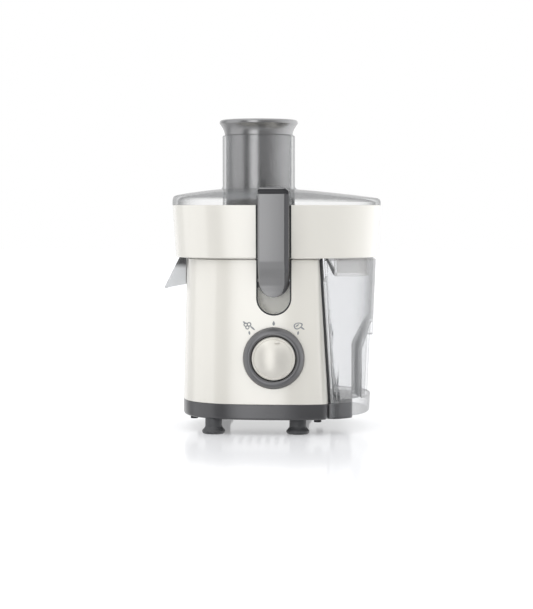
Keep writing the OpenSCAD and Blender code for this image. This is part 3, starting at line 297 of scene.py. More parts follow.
def eased(profile, radius, closed=False, steps=4):
    """A polyline whose corners are rounded: each is a quadratic curve between the two points that
    lie the corner's radius before and after it, at most 0.45 of either side away."""
    points = np.asarray(profile, float)
    if closed:
        before, at, after = np.roll(points, 1, 0), points, np.roll(points, -1, 0)
    else:
        before, at, after = points[:-2], points[1:-1], points[2:]
    back, ahead = before - at, after - at
    near = np.linalg.norm(back, axis=1)
    far = np.linalg.norm(ahead, axis=1)
    cut = np.minimum(np.maximum(np.broadcast_to(radius, len(at)), 0.02), 0.45 * np.minimum(near, far))
    start = at + back * (cut / near)[:, None]
    end = at + ahead * (cut / far)[:, None]
    t = np.linspace(0, 1, steps + 1)[None, :, None]
    arcs = (1 - t) ** 2 * start[:, None] + 2 * t * (1 - t) * at[:, None] + t**2 * end[:, None]
    arcs = arcs.reshape(-1, points.shape[1])
    return arcs if closed else np.vstack([points[:1], arcs, points[-1:]])


def trimmed(half_w, half_d, x_from, x_to, y_half, count=220, ease=3.0):
    """Evenly spaced points round the right part of the plan outline, cut off by straight lines.

    A superellipse's points are clipped to the box, spread evenly by length, and averaged over a
    window, which rounds the corners to about the ease. Distances are from the bowl's middle.
    """
    angle = np.linspace(-np.pi / 2, np.pi / 2, 721)
    cos, sin = np.cos(angle), np.sin(angle)
    curve, power = superellipse(cos, sin, half_w, half_d)
    radius = curve ** (-1 / power)
    points = np.stack([np.clip(radius * cos, x_from, x_to), np.clip(radius * sin, -y_half, y_half)], -1)
    points = np.vstack([points, points[:1]])
    along = np.concatenate([[0], np.cumsum(np.linalg.norm(np.diff(points, axis=0), axis=1))])
    per_point = 8
    dense = per_point * count
    spots = np.linspace(0, along[-1], dense, endpoint=False)
    even = np.stack([np.interp(spots, along, points[:, k]) for k in (0, 1)], -1)
    reach = max(1, round(ease / along[-1] * dense)) // 2
    for _ in (0, 1):
        even = sum(np.roll(even, shift, 0) for shift in range(-reach, reach + 1)) / (2 * reach + 1)
    return even[::per_point] + [BOWL_X, 0]


def raised(outlines):
    """Pairs of a flat outline and its height, as rings."""
    return [np.column_stack([flat, np.full(len(flat), z)]) for flat, z in outlines]


def stack(rings, loop=False):
    """Points and quads of rings of equal count, shape (k, n, 3). In a loop the last ring meets the
    first; otherwise a fan round each end ring's mean point closes the shape."""
    rings = np.asarray(rings, float)
    count, around = rings.shape[:2]
    k = np.arange(count if loop else count - 1)[:, None]
    i = np.arange(around)[None]
    j = (i + 1) % around
    low, up = k * around, (k + 1) % count * around
    faces = [np.stack([low + i, low + j, up + j, up + i], -1).reshape(-1, 4)]
    points = rings.reshape(-1, 3)
    if not loop:
        points = np.vstack([points, rings[0].mean(0), rings[-1].mean(0)])
        base, top = count * around, (count - 1) * around
        i, j = i[0], j[0]
        faces.append(np.stack([j, i, np.full(around, base)], -1))
        faces.append(np.stack([top + i, top + j, np.full(around, base + 1)], -1))
    return points, faces


def lathe(profile, centre, facing="up", closed=False, around=128):
    """A profile of (radius, height) turned round an axis through the centre. Facing up the height
    runs along +Z; facing front it runs along -Y."""
    profile = np.asarray(profile, float)
    angle = np.linspace(0, 2 * np.pi, around, endpoint=False)
    across, up = profile[:, :1] * np.cos(angle), profile[:, :1] * np.sin(angle)
    height = np.broadcast_to(profile[:, 1:2], across.shape)
    parts = (across, up, height) if facing == "up" else (across, -height, up)
    return stack(np.stack(parts, -1) + centre, loop=closed)


def rod(radius, long, centre):
    """A cutter for a round seat: a plain cylinder that runs along -Y from the centre."""
    return lathe([(0, 0), (radius, 0), (radius, long), (0, long)], centre, "front")


def prism(outline, low, high, axis="y"):
    """A flat outline of (x, z) run along Y, or of (x, y) run along Z, closed at both ends."""
    count = len(outline)
    order = [0, 2, 1] if axis == "y" else [0, 1, 2]
    rings = [ring[:, order] for ring in raised([(outline, low), (outline, high)])]
    i = np.arange(count)
    j = (i + 1) % count
    sides = np.stack([i, j, count + j, count + i], -1)
    return np.vstack(rings), [sides, i[None, ::-1], count + i[None]]


def block(low, high, radius, steps=3):
    """A box with rounded edges: rounded rectangles stacked in height, set in by
    r (1 - sqrt(1 - t^2)) near the bottom and the top."""
    low, high = np.asarray(low, float), np.asarray(high, float)
    centre, half = (low + high) / 2, (high - low) / 2
    turn = np.radians(np.linspace(0, 90, steps + 1))
    corners = np.concatenate([turn + quarter * np.pi / 2 for quarter in range(4)])
    side = np.repeat([(1, 1), (-1, 1), (-1, -1), (1, -1)], steps + 1, axis=0)
    rise = radius * (1 - np.cos(turn))
    set_in = radius * (1 - np.sin(turn))
    inset = np.concatenate([set_in, rise])
    level = np.concatenate([low[2] + rise, high[2] - set_in])
    arc = np.stack([np.cos(corners), np.sin(corners)], -1)
    flat = centre[:2] + side * (half[:2] - radius) + arc * (radius - inset[:, None, None])
    height = np.broadcast_to(level[:, None, None], (*flat.shape[:2], 1))
    return stack(np.concatenate([flat, height], -1))


# ---- meshes


def outward(points, faces):
    """Faces turned over when the volume they close, the sum of a . (b x c) / 6, is negative."""
    total = 0.0
    for face in faces:
        fan = points[face]
        total += np.einsum("ij,ikj->", fan[:, 0], np.cross(fan[:, 1:-1], fan[:, 2:]))
    return faces if total > 0 else [face[:, ::-1] for face in faces]


def add_object(name, data):
    obj = bpy.data.objects.new(name, data)
    bpy.context.scene.collection.objects.link(obj)
    return obj


def drop(obj):
    """Removes an object and its mesh."""
    data = obj.data
    bpy.data.objects.remove(obj)
    bpy.data.meshes.remove(data)


def new_object(name, shape):
    points, faces = shape
    mesh = bpy.data.meshes.new(name)
    rows = [row for face in outward(points, faces) for row in face.tolist()]
    mesh.from_pydata((points * MM).tolist(), [], rows)
    weld(mesh)
    return add_object(name, mesh)


def weld(mesh, flatten=False):
    """Merges points that coincide, and joins faces that lie in one plane when asked."""
    work = bmesh.new()
    work.from_mesh(mesh)
    bmesh.ops.remove_doubles(work, verts=work.verts, dist=2e-6)
    if flatten:
        bmesh.ops.dissolve_limit(
            work, angle_limit=math.radians(0.5), verts=work.verts, edges=work.edges
        )
    work.to_mesh(mesh)
    work.free()


def carve(obj, *shapes):
    """Cuts closed shapes out of a piece, one after the other, and keeps the result as its mesh."""
    cutters = [new_object(f"cutter_{k}", shape) for k, shape in enumerate(shapes)]
    for cutter in cutters:
        cut = obj.modifiers.new("cut", "BOOLEAN")
        cut.object = cutter
        cut.operation = "DIFFERENCE"
        cut.solver = "EXACT"
    bpy.context.view_layer.update()
    graph = bpy.context.evaluated_depsgraph_get()
    result = bpy.data.meshes.new_from_object(obj.evaluated_get(graph))
    old = obj.data
    obj.modifiers.clear()
    obj.data = result
    result.name = obj.name
    bpy.data.meshes.remove(old)
    for cutter in cutters:
        drop(cutter)
    if not len(result.polygons):
        raise RuntimeError(f"nothing is left of {obj.name}")


def dress(obj, material, node, sharp=35, stands_in=True):
    """Smooth shading up to an angle, and the finish. The piece has the body of a frame node, and
    stands in for it unless it only adds to it."""
    obj.data.polygons.foreach_set("use_smooth", np.ones(len(obj.data.polygons), bool))
    obj.data.set_sharp_from_angle(angle=math.radians(sharp))
    obj.data.materials.clear()
    obj.data.materials.append(finish(material))
    body, slot = NODE_BODY[node], NODE_SLOT[node]
    replaces = (node,) if stands_in else ()
    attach(obj, body)
    if replaces:
        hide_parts(*replaces)


def piece(name, shape, material, node, cuts=(), **settings):
    """A closed shape as an object, cut and dressed."""
    obj = new_object(name, shape)
    if cuts:
        carve(obj, *cuts)
    dress(obj, material, node, **settings)
    return obj


def turned(name, points, ease, centre, material, node, facing="up", closed=False, around=192, **settings):
    """A lathe with eased corners as a dressed piece."""
    shape = lathe(eased(points, ease, closed=closed), centre, facing, closed, around)
    piece(name, shape, material, node, **settings)


def eased_copy(node, name, width, material):
    """A copy of a frame node with its flat faces joined and its edges rounded, dressed."""
    mesh = frame["nodes"][node].data.copy()
    mesh.name = name
    if "custom_normal" in mesh.attributes:
        mesh.attributes.remove(mesh.attributes["custom_normal"])
    weld(mesh, flatten=True)
    obj = add_object(name, mesh)
    bevel = obj.modifiers.new("rounded edges", "BEVEL")
    bevel.width = width * MM
    bevel.segments = 3
    bevel.limit_method = "ANGLE"
    bevel.angle_limit = math.radians(30)
    bevel.miter_outer = "MITER_ARC"
    bevel.harden_normals = False
    dress(obj, material, node)


def read(rows, name, width=1, kind=np.float32):
    """A property of all of a mesh's vertices, corners or faces, as an array with a row for each."""
    values = np.empty(len(rows) * width, kind)
    rows.foreach_get(name, values)
    return values.reshape(-1, width)


def face_places(obj):
    """Centres, in millimetres, and normals of a piece's faces."""
    centre, normal = [read(obj.data.polygons, name, 3).astype(float) for name in ("center", "normal")]
    return centre / MM, normal


def shape_of(obj):
    """A piece's points, in millimetres, and its faces, as a shape to build or cut with."""
    mesh = obj.data
    corners = read(mesh.loops, "vertex_index", kind=np.int32)
    starts = read(mesh.polygons, "loop_start", kind=np.int32)
    faces = [face.T for face in np.split(corners, starts[1:, 0])]
    return read(mesh.vertices, "co", 3).astype(float) / MM, faces


def paint(obj, index, *materials):
    """Adds materials to a piece and gives each face the one of its index."""
    for material in materials:
        obj.data.materials.append(finish(material))
    obj.data.polygons.foreach_set("material_index", np.asarray(index, np.int32))


# ---- shader parts


def feed(node, inputs):
    """Sets or links a node's inputs, by name or by number."""
    for name, value in inputs.items():
        if isinstance(value, bpy.types.NodeSocket):
            node.id_data.links.new(value, node.inputs[name])
        else:
            node.inputs[name].default_value = value


def put(tree, kind, inputs=None, **settings):
    """Adds a node, sets its properties, and sets or links its inputs."""
    node = tree.nodes.new("ShaderNode" + kind)
    for name, value in settings.items():
        setattr(node, name, value)
    feed(node, inputs or {})
    return node


def maths(tree, operation, *values, clamp=False):
    inputs = dict(enumerate(values))
    return put(tree, "Math", inputs, operation=operation, use_clamp=clamp).outputs[0]


def vectors(tree, operation, inputs, output=0):
    return put(tree, "VectorMath", inputs, operation=operation).outputs[output]


def place(tree, kind="Object"):
    return put(tree, "TexCoord").outputs[kind]


def axes(tree, vector):
    return put(tree, "SeparateXYZ", {"Vector": vector}).outputs


def noise(tree, vector, scale, **inputs):
    return put(tree, "TexNoise", {"Vector": vector, "Scale": scale, **inputs}).outputs["Fac"]


def scaled(tree, colour_out, gain):
    """A colour times a value."""
    return vectors(tree, "SCALE", {0: colour_out, "Scale": gain})


def blend(tree, share, first, second):
    return put(tree, "Mix", {0: share, 6: first, 7: second}, data_type="RGBA").outputs[2]


def blend_shaders(tree, share, first, second):
    return put(tree, "MixShader", {0: share, 1: first, 2: second}).outputs[0]


def smooth(tree, value, low, high):
    """0 up to the low value and 1 from the high one on, with a smooth step between."""
    inputs = {"Value": value, "From Min": low, "From Max": high}
    return put(tree, "MapRange", inputs, interpolation_type="SMOOTHSTEP").outputs[0]


def group(name, inputs, outputs):
    """A shader node group with named sockets. An input's kind follows from its default; an output
    called Colour is a colour and the others are values. Gives the tree, its calculator, its input
    sockets and its end node."""
    tree = bpy.data.node_groups.new(name, "ShaderNodeTree")
    kinds = {0: "Float", 3: "Vector", 4: "Color"}
    for label, default in inputs.items():
        kind = kinds[len(default) if isinstance(default, tuple) else 0]
        socket = tree.interface.new_socket(label, in_out="INPUT", socket_type=f"NodeSocket{kind}")
        socket.default_value = default
    for label in outputs:
        kind = "Color" if label == "Colour" else "Float"
        tree.interface.new_socket(label, in_out="OUTPUT", socket_type=f"NodeSocket{kind}")
    start, end = tree.nodes.new("NodeGroupInput"), tree.nodes.new("NodeGroupOutput")
    return tree, partial(maths, tree), start.outputs, end


def moulded_group():
    """Moulded plastic: broad drift of tone and gloss, and the fine skin left by the mould. The
    colour is multiplied by 1 + drift (2 noise - 1)."""
    inputs = {
        "Colour": (0.8, 0.8, 0.8, 1), "Drift": 0.01, "Roughness": 0.3, "Spread": 0.05,
        "Grain per metre": 1800.0, "Grain depth": 0.3,
    }
    tree, calc, i, end = group("moulded_skin", inputs, ("Colour", "Roughness", "Height"))
    spot = place(tree)
    broad = noise(tree, spot, 14.0, Detail=3.0)
    fine = noise(tree, spot, i["Grain per metre"], Detail=2.0)
    gain = calc("ADD", calc("MULTIPLY", calc("MULTIPLY_ADD", broad, 2.0, -1.0), i["Drift"]), 1.0)
    gloss = calc("MULTIPLY", calc("SUBTRACT", broad, 0.5), i["Spread"])
    feed(end, {
        "Colour": scaled(tree, i["Colour"], gain),
        "Roughness": calc("ADD", gloss, i["Roughness"]),
        "Height": calc("MULTIPLY", fine, i["Grain depth"]),
    })
    return tree


def scratch_group():
    """Hair scratches from handling: thin lines where two stretched noises cross a level."""
    tree, calc, i, end = group("hair_scratches", {"Amount": 0.2, "Per metre": 60.0}, ("Mask",))
    spot = place(tree)
    masks = []
    for turn, stretch in ((0.4, (1.0, 0.9, 14.0)), (1.3, (12.0, 1.0, 1.1))):
        inputs = {"Vector": spot, "Rotation": (turn, turn / 2, turn), "Scale": stretch}
        turned = put(tree, "Mapping", inputs).outputs[0]
        level = noise(tree, turned, i["Per metre"], Detail=1.0, Distortion=0.6)
        away = calc("DIVIDE", calc("ABSOLUTE", calc("SUBTRACT", level, 0.5)), 0.006)
        masks.append(calc("SUBTRACT", 1.0, away, clamp=True))
    feed(end, {"Mask": calc("MULTIPLY", calc("MAXIMUM", *masks), i["Amount"])})
    return tree


def turned_group():
    """Turned or drawn metal: fine rings in height and radius round the motor's axis."""
    inputs = {"Lines per metre": 1500.0, "Depth": 0.3, "Roughness": 0.3}
    tree, calc, i, end = group("turned_metal", inputs, ("Roughness", "Height"))
    x, y, z = axes(tree, vectors(tree, "SUBTRACT", {0: place(tree), 1: (MOTOR_X * MM, 0, 0)}))
    flat = put(tree, "CombineXYZ", {"X": x, "Y": y}).outputs[0]
    radius = vectors(tree, "LENGTH", {0: flat}, "Value")
    ringed = put(tree, "CombineXYZ", {"X": radius, "Z": z}).outputs[0]
    lines = noise(tree, ringed, i["Lines per metre"], Detail=3.0, Roughness=0.6)
    swing = calc("MULTIPLY", calc("SUBTRACT", lines, 0.5), 0.25)
    feed(end, {
        "Roughness": calc("ADD", swing, i["Roughness"]), "Height": calc("MULTIPLY", lines, i["Depth"])
    })
    return tree


def perforated_group():
    """Staggered round holes round the motor's axis: a cell is one step of angle and one of height,
    and the mask is 0 within the hole's radius of the nearest cell's middle."""
    inputs = {"Holes round": 260.0, "Row height": 0.0013, "Hole": 0.3}
    tree, calc, i, end = group("perforated_sheet", inputs, ("Mask",))
    x, y, z = axes(tree, place(tree))
    angle = calc("ARCTAN2", y, calc("SUBTRACT", x, MOTOR_X * MM))
    u = calc("MULTIPLY", calc("DIVIDE", angle, 2 * math.pi), i["Holes round"])
    v = calc("DIVIDE", z, i["Row height"])
    nearest = []
    for shift in (0.0, 0.5):
        du = calc("SUBTRACT", calc("FRACT", calc("ADD", u, shift + 500)), 0.5)
        dv = calc("SUBTRACT", calc("FRACT", calc("ADD", v, shift)), 0.5)
        nearest.append(calc("SQRT", calc("ADD", calc("POWER", du, 2.0), calc("POWER", dv, 2.0))))
    gap = calc("SUBTRACT", calc("MINIMUM", *nearest), i["Hole"])
    feed(end, {"Mask": calc("MULTIPLY", gap, 12.0, clamp=True)})
    return tree


def wound_group():
    """Wound wire or stacked sheets: a wave along one axis, with a little wander."""
    inputs = {"Scale": 600.0, "Wander": 0.4, "Along": (0, 0, 1)}
    tree, calc, i, end = group("wound_layers", inputs, ("Height",))
    spot = place(tree)
    along = vectors(tree, "DOT_PRODUCT", {0: spot, 1: i["Along"]}, "Value")
    wave = {
        "Vector": put(tree, "CombineXYZ", {"X": along}).outputs[0],
        "Scale": i["Scale"],
        "Phase Offset": calc("MULTIPLY", noise(tree, spot, 90.0), i["Wander"]),
    }
    feed(end, {"Height": put(tree, "TexWave", wave, bands_direction="X").outputs["Fac"]})
    return tree


GROUPS = {
    "moulded_skin": moulded_group,
    "hair_scratches": scratch_group,
    "turned_metal": turned_group,
    "perforated_sheet": perforated_group,
    "wound_layers": wound_group,
}


def effect(tree, name, **inputs):
    """Places a shared effect in a material, with values for its named inputs."""
    shared = bpy.data.node_groups.get(name) or GROUPS[name]()
    named = {label.replace("_", " "): value for label, value in inputs.items()}
    return put(tree, "Group", named, node_tree=shared).outputs


def new_material(name):
    material = bpy.data.materials.new(name)
    material.use_nodes = True
    tree = material.node_tree
    return material, tree, tree.nodes["Principled BSDF"]


def show(tree, shader_out):
    """Links a shader to the material's surface."""
    feed(tree.nodes["Material Output"], {"Surface": shader_out})


def bump(tree, height, distance, strength=0.5):
    inputs = {"Height": height, "Distance": distance * MM, "Strength": strength}
    return put(tree, "Bump", inputs).outputs[0]


def plastic(name, base, rough, coat=0.0, coat_ior=1.5, metallic=0.0, grain=1800.0, depth=0.3,
            drift=0.012, scratches=0.0):
    """Moulded plastic or rubber: skin grain and drift of tone, a gloss coat where it is polished, and
    a share of metal where it is painted."""
    material, tree, shader = new_material(name)
    skin = effect(
        tree, "moulded_skin", Colour=base, Drift=drift, Roughness=rough, Spread=0.08,
        Grain_per_metre=grain, Grain_depth=depth,
    )
    gloss = skin["Roughness"]
    if scratches:
        worn = effect(tree, "hair_scratches", Amount=scratches)
        gloss = maths(tree, "ADD", gloss, worn["Mask"], clamp=True)
    feed(shader, {
        "Base Color": skin["Colour"], "Roughness": gloss, "IOR": 1.5, "Metallic": metallic,
        "Coat Weight": coat, "Coat IOR": coat_ior, "Coat Roughness": 0.06,
        "Normal": bump(tree, skin["Height"], 0.05),
    })
    return material


def clear(name, base, low, high, rough, gloss=0.5, shade_from=None):
    """Clear moulded plastic, seen straight through: the share that it covers rises from low, face on,
    to high at its outlines, low + (high - low) f^3, and its tone falls to the edge colour by f^4,
    where f is the facing. Rays from lamps pass, so that what is inside stays lit. A height may be
    given above which it darkens: a painted shadow, for the bowl's shade on the part under it."""
    material, tree, shader = new_material(name)
    calc = partial(maths, tree)
    skin = effect(tree, "moulded_skin", Colour=base, Drift=0.006, Roughness=rough, Spread=0.02)
    worn = effect(tree, "hair_scratches", Amount=0.04, Per_metre=45.0)
    facing = put(tree, "LayerWeight", {"Blend": 0.5}).outputs["Facing"]
    tone = blend(tree, calc("POWER", facing, 4.0), skin["Colour"], tint("clear_edge"))
    if shade_from is not None:
        # Painted shadow: above the given height the tone darkens, for the bowl's shade on the spout
        height = axes(tree, place(tree))["Z"]
        thick = smooth(tree, height, shade_from * MM, (shade_from + 6) * MM)
        tone = blend(tree, thick, tone, opaque(44, 45, 47))
    feed(shader, {
        "Base Color": tone, "IOR": 1.5, "Specular IOR Level": gloss,
        "Roughness": calc("ADD", skin["Roughness"], worn["Mask"], clamp=True),
        "Alpha": calc("MULTIPLY_ADD", calc("POWER", facing, 3.0), high - low, low),
    })
    shadow = put(tree, "LightPath").outputs["Is Shadow Ray"]
    passing = put(tree, "BsdfTransparent", {"Color": (0.95, 0.95, 0.95, 1)}).outputs[0]
    show(tree, blend_shaders(tree, shadow, shader.outputs[0], passing))
    return material


def metal(name, base, rough, depth=0.3, lines=1500.0):
    """Turned, drawn or brushed metal, with fine rings round the axis."""
    material, tree, shader = new_material(name)
    turned = effect(tree, "turned_metal", Lines_per_metre=lines, Depth=depth, Roughness=rough)
    skin = effect(tree, "moulded_skin", Colour=base, Drift=0.03)
    feed(shader, {
        "Base Color": skin["Colour"], "Roughness": turned["Roughness"], "Metallic": 1.0,
        "Normal": bump(tree, turned["Height"], 0.03),
    })
    return material


def layered(name, base, rough, metallic, scale, along=(0, 0, 1)):
    """Wound wire or a stack of sheets: ridges along one axis, darker between them, painted shade in
    the crevices between turns of wire and dark joints between sheets.
    """
    material, tree, shader = new_material(name)
    ridges = effect(tree, "wound_layers", Scale=scale, Along=along)
    skin = effect(tree, "moulded_skin", Colour=base, Drift=0.05)
    light = maths(tree, "MULTIPLY_ADD", ridges["Height"], 0.55, 0.45)
    feed(shader, {
        "Base Color": scaled(tree, skin["Colour"], light), "Roughness": rough, "Metallic": metallic,
        "Normal": bump(tree, ridges["Height"], 0.2),
    })
    return material


def perforated(name, base):
    """Stainless sheet with staggered holes, which are deep, and painted dark for the shade seen
    through them.
    """
    material, tree, shader = new_material(name)
    holes = effect(tree, "perforated_sheet")
    skin = effect(tree, "moulded_skin", Colour=base, Drift=0.03)
    light = maths(tree, "MULTIPLY_ADD", holes["Mask"], 0.85, 0.15)
    feed(shader, {
        "Base Color": scaled(tree, skin["Colour"], light), "Metallic": holes["Mask"],
        "Roughness": 0.28, "Normal": bump(tree, holes["Mask"], 0.3, 0.8),
    })
    return material


# Each finish: what makes it, its colour (from the panel, or as picked on screen) and its settings
FINISHES = {
    "cream_gloss": (plastic, "cream", dict(rough=0.36, coat=1.0, coat_ior=1.9, depth=0.1, drift=0.006)),
    "knob_satin": (plastic, "knob", dict(rough=0.36, coat=0.15, metallic=0.4, depth=0.15)),
    "tray_dark": (plastic, "tray", dict(rough=0.3, coat=0.3, metallic=0.55, depth=0.2, scratches=0.05)),
    "pusher_grey": (plastic, "pusher", dict(rough=0.24, metallic=0.85, depth=0.03, drift=0.02)),
    "bezel_grey": (plastic, "bezel", dict(rough=0.3, coat=0.2, metallic=0.6, depth=0.15, scratches=0.05)),
    # A darker copy of the clamp's plastic, for its right side: painted shade
    "clamp_painted_shade": (plastic, "tray", dict(rough=0.34, metallic=0.6, depth=0.15)),
    "clamp_grey": (plastic, "clamp", dict(rough=0.34, metallic=0.68, depth=0.15, scratches=0.05)),
    "plate_grey": (plastic, "plate", dict(rough=0.42, depth=0.25)),
    # Black plastic, and the dark strips and bands that paint shade in gaps and recesses
    "black_and_painted_shade": (plastic, (44, 45, 48), dict(rough=0.5, depth=0.4)),
    # Rubber of the feet, and the dark strip that paints the shade of the container's gap
    "rubber_and_painted_shade": (plastic, (78, 79, 81), dict(rough=0.5, grain=2600.0, depth=0.6, drift=0.04)),
    "natural_nylon": (plastic, (228, 224, 212), dict(rough=0.4, depth=0.2)),
    "phenolic_brown": (plastic, (126, 92, 58), dict(rough=0.45, drift=0.06)),
    "capacitor_yellow": (plastic, (205, 180, 84), dict(rough=0.35, coat=0.3)),
    "print_grey": (plastic, "print_grey", dict(rough=0.5, depth=0.1)),
    "cast_aluminium": (plastic, (176, 178, 181), dict(rough=0.5, grain=1200.0, depth=1.0)),
    "carbon_block": (plastic, (40, 40, 44), dict(rough=0.6, grain=3000.0, depth=0.8)),
    "clear_lid": (clear, "clear", dict(low=0.03, high=0.92, rough=0.05, gloss=0.05)),
    "clear_container": (clear, "clear", dict(low=0.12, high=0.9, rough=0.08, gloss=0.25)),
    # The spout darkens towards its top: painted shadow of the bowl above it
    "clear_smoke": (clear, "smoke", dict(low=0.8, high=0.95, rough=0.15, shade_from=SEAM_Z - 11)),
    # The duct is mostly see-through, so the white behind lightens it: painted light for its shade under the
    # bowl
    "duct_painted_light": (clear, "cream", dict(low=0.18, high=0.5, rough=0.3)),
    "black_steel": (metal, (58, 58, 60), dict(rough=0.45, depth=0.15)),
    "zinc_plated": (metal, (206, 207, 210), dict(rough=0.34)),
    "bright_steel": (metal, (222, 223, 226), dict(rough=0.2, depth=0.15)),
    "grating_steel": (metal, (224, 225, 227), dict(rough=0.26, lines=900.0)),
    "mesh_steel": (perforated, (222, 223, 226), {}),
    "laminated_steel": (layered, (132, 135, 140), dict(rough=0.45, metallic=0.8, scale=630.0)),
    "copper_wire": (layered, (196, 120, 72), dict(rough=0.3, metallic=0.9, scale=420.0, along=(1, 0, 0.35))),
}

# The finish of a frame node, by its name or else by its slot
NODE_FINISH = {"filter_mesh": "mesh_steel", "housing_screws": "black_steel"}
SLOT_FINISH = {
    "cream_plastic": "cream_gloss", "knob_plastic": "knob_satin", "dark_plastic": "tray_dark",
    "dark_gloss_plastic": "pusher_grey", "black_plastic": "black_and_painted_shade",
    "light_grey_plastic": "plate_grey", "clamp_plastic": "clamp_grey",
    "natural_plastic": "natural_nylon", "brown_plastic": "phenolic_brown",
    "yellow_plastic": "capacitor_yellow", "print_grey": "print_grey",
    "clear_plastic": "clear_lid", "smoked_clear_plastic": "clear_smoke",
    "dark_rubber": "rubber_and_painted_shade", "zinc_steel": "zinc_plated", "bright_steel": "bright_steel",
    "stainless_steel": "grating_steel", "lamination_steel": "laminated_steel",
    "cast_aluminium": "cast_aluminium", "copper": "copper_wire", "carbon": "carbon_block",
}


def finish(name):
    """The material of that name, made when it is first asked for."""
    if name not in bpy.data.materials:
        kind, base, settings = FINISHES[name]
        kind(name, tint(base) if isinstance(base, str) else opaque(*base), **settings)
    return bpy.data.materials[name]


# ---- housing, tray and feet


def recess_path(half_w, top, steps=32):
    """The clamp recess seen from the front, as (x, z): down one side, round a half circle, up the
    other. With it, the direction away from the recess's middle at each point."""
    centre = SEAM_Z - mm("recess_drop") + mm("clamp_w") / 2
    angle = np.linspace(np.pi, 2 * np.pi, steps + 1)
    arc = np.stack([np.cos(angle), np.sin(angle)], -1)
    rise = np.linspace(1, 0, 9)[:-1, None] * [[0, top - centre]]
    path = np.vstack([[-half_w, 0] + rise, half_w * arc, [half_w, 0] + rise[::-1]])
    away = np.vstack([np.tile([-1.0, 0.0], (8, 1)), arc, np.tile([1.0, 0.0], (8, 1))])
    return path + [BOWL_X, centre], away


def recess_sweep(side, off, behind, sunk):
    """A section swept along the recess's path, as closed rings. Each point of it is set off from the
    path by an amount, and lies at the back plate where behind is true or sunk below the face."""
    path, away = recess_path(mm("clamp_w") / 2 + mm("recess_gap") - mm("shade_trim_w"), SEAM_Z - 0.1)
    flat = path[:, None] + np.asarray(off)[None, :, None] * away[:, None]
    face = front_out(flat[..., 0], flat[..., 1]) - np.asarray(sunk)
    out = np.where(behind, mm("recess_back") - 1.4, face)
    return stack(np.stack([flat[..., 0], side * out, flat[..., 1]], -1))


def build_recess(side, end):
    """The recess's own wall, painted dark beside the arm for the shade in the gap there and light
    below it, and the dark trim round its mouth, painted shade for its shadow gap.
    """
    section = recess_sweep(side, [0, 0, 2.2, 2.2], [True, False, False, True], 1.6)
    wall = piece(f"recess_wall_{end}", section, "cream_gloss", "motor_housing")
    centre, _ = face_places(wall)
    # Faces above the pin's height are painted black: painted shade in the gap beside the arm
    paint(wall, centre[:, 2] > PIN_Z - 8, "black_and_painted_shade")
    # The trim is painted shade: a dark band for the shadow gap round the recess's mouth
    trim = mm("shade_trim_w")
    off, sunk = [0, 0.2, trim - 0.1, trim, trim, 0], [0.4, 0.2, 0.2, 0.3, 1.7, 1.7]
    section = recess_sweep(side, off, False, sunk)
    piece(f"recess_shade_trim_{end}", section, "black_and_painted_shade", "motor_housing")


def build_housing():
    """Shell, deck and right wall as one loop of rings, cut by the recesses and the dial's seat. A
    narrow rebate under the deck draws the seam below the bowl. The third value of a profile's point
    is 1 at the deck's round hole and 0 at the outline."""
    wall, rebate = mm("housing_wall"), 1.9
    deck_hole_r, gland_r, gland_z = 13.0, 6.1, 40
    step = SEAM_Z - 1.1
    round_scale = 60
    profile = eased(
        [(0, TRAY_TOP, 0), (0, step, 0), (-rebate, step, 0), (-rebate, SEAM_Z, 0),
         (0, SEAM_Z, round_scale), (0, DECK_Z, round_scale), (-wall, DECK_Z, 0), (-wall, TRAY_TOP, 0)],
        [0.5, 0.35, 0.1, 0.1, 0.5, 0.5, 0.3, 0.5], closed=True,
    )
    grow, z = profile[:, 0], profile[:, 1]
    share = (profile[:, 2] / round_scale)[:, None, None]
    outline = plan(*housing_half(z, grow), z, split_out(z) + grow)
    opening, _ = recess_path(mm("clamp_w") / 2 + mm("recess_gap"), SEAM_Z + 4)
    back, beyond = mm("recess_back"), 95
    cuts = [
        prism(opening, -beyond, -back), prism(opening, back, beyond),
        rod(mm("bezel_r") + 0.3, 10, (BOWL_X, -DIAL_SEAT, KNOB_Z)),
        rod(gland_r, 16, (MOTOR_X, edge("cord_gland", 1, 1), gland_z)),
    ]
    shape = stack((1 - share) * outline + share * circles(deck_hole_r, z), loop=True)
    piece("motor_housing_shell", shape, "cream_gloss", "motor_housing", cuts)
    for side, end in ENDS:
        build_recess(side, end)
    # Dark strips that paint the shade of the gap by the container
    for side, end in ENDS:
        build_gap_shade_strip(side, end)


def build_gap_shade_strip(side, end, out=47, half=3):
    """A narrow dark strip up the slanted right wall, where the container closes against it: painted
    shade for the gap between them.
    """
    z = np.array([TRAY_TOP + 0.5, SEAM_Z - 1.5])
    low, high = side * out - half, side * out + half
    corners = np.array([(-1, low), (1.5, low), (1.5, high), (-1, high)])
    rings = raised([(corners + [BOWL_X + split_out(level), 0], level) for level in z])
    piece(f"container_gap_shade_{end}", stack(rings), "rubber_and_painted_shade", "motor_housing")


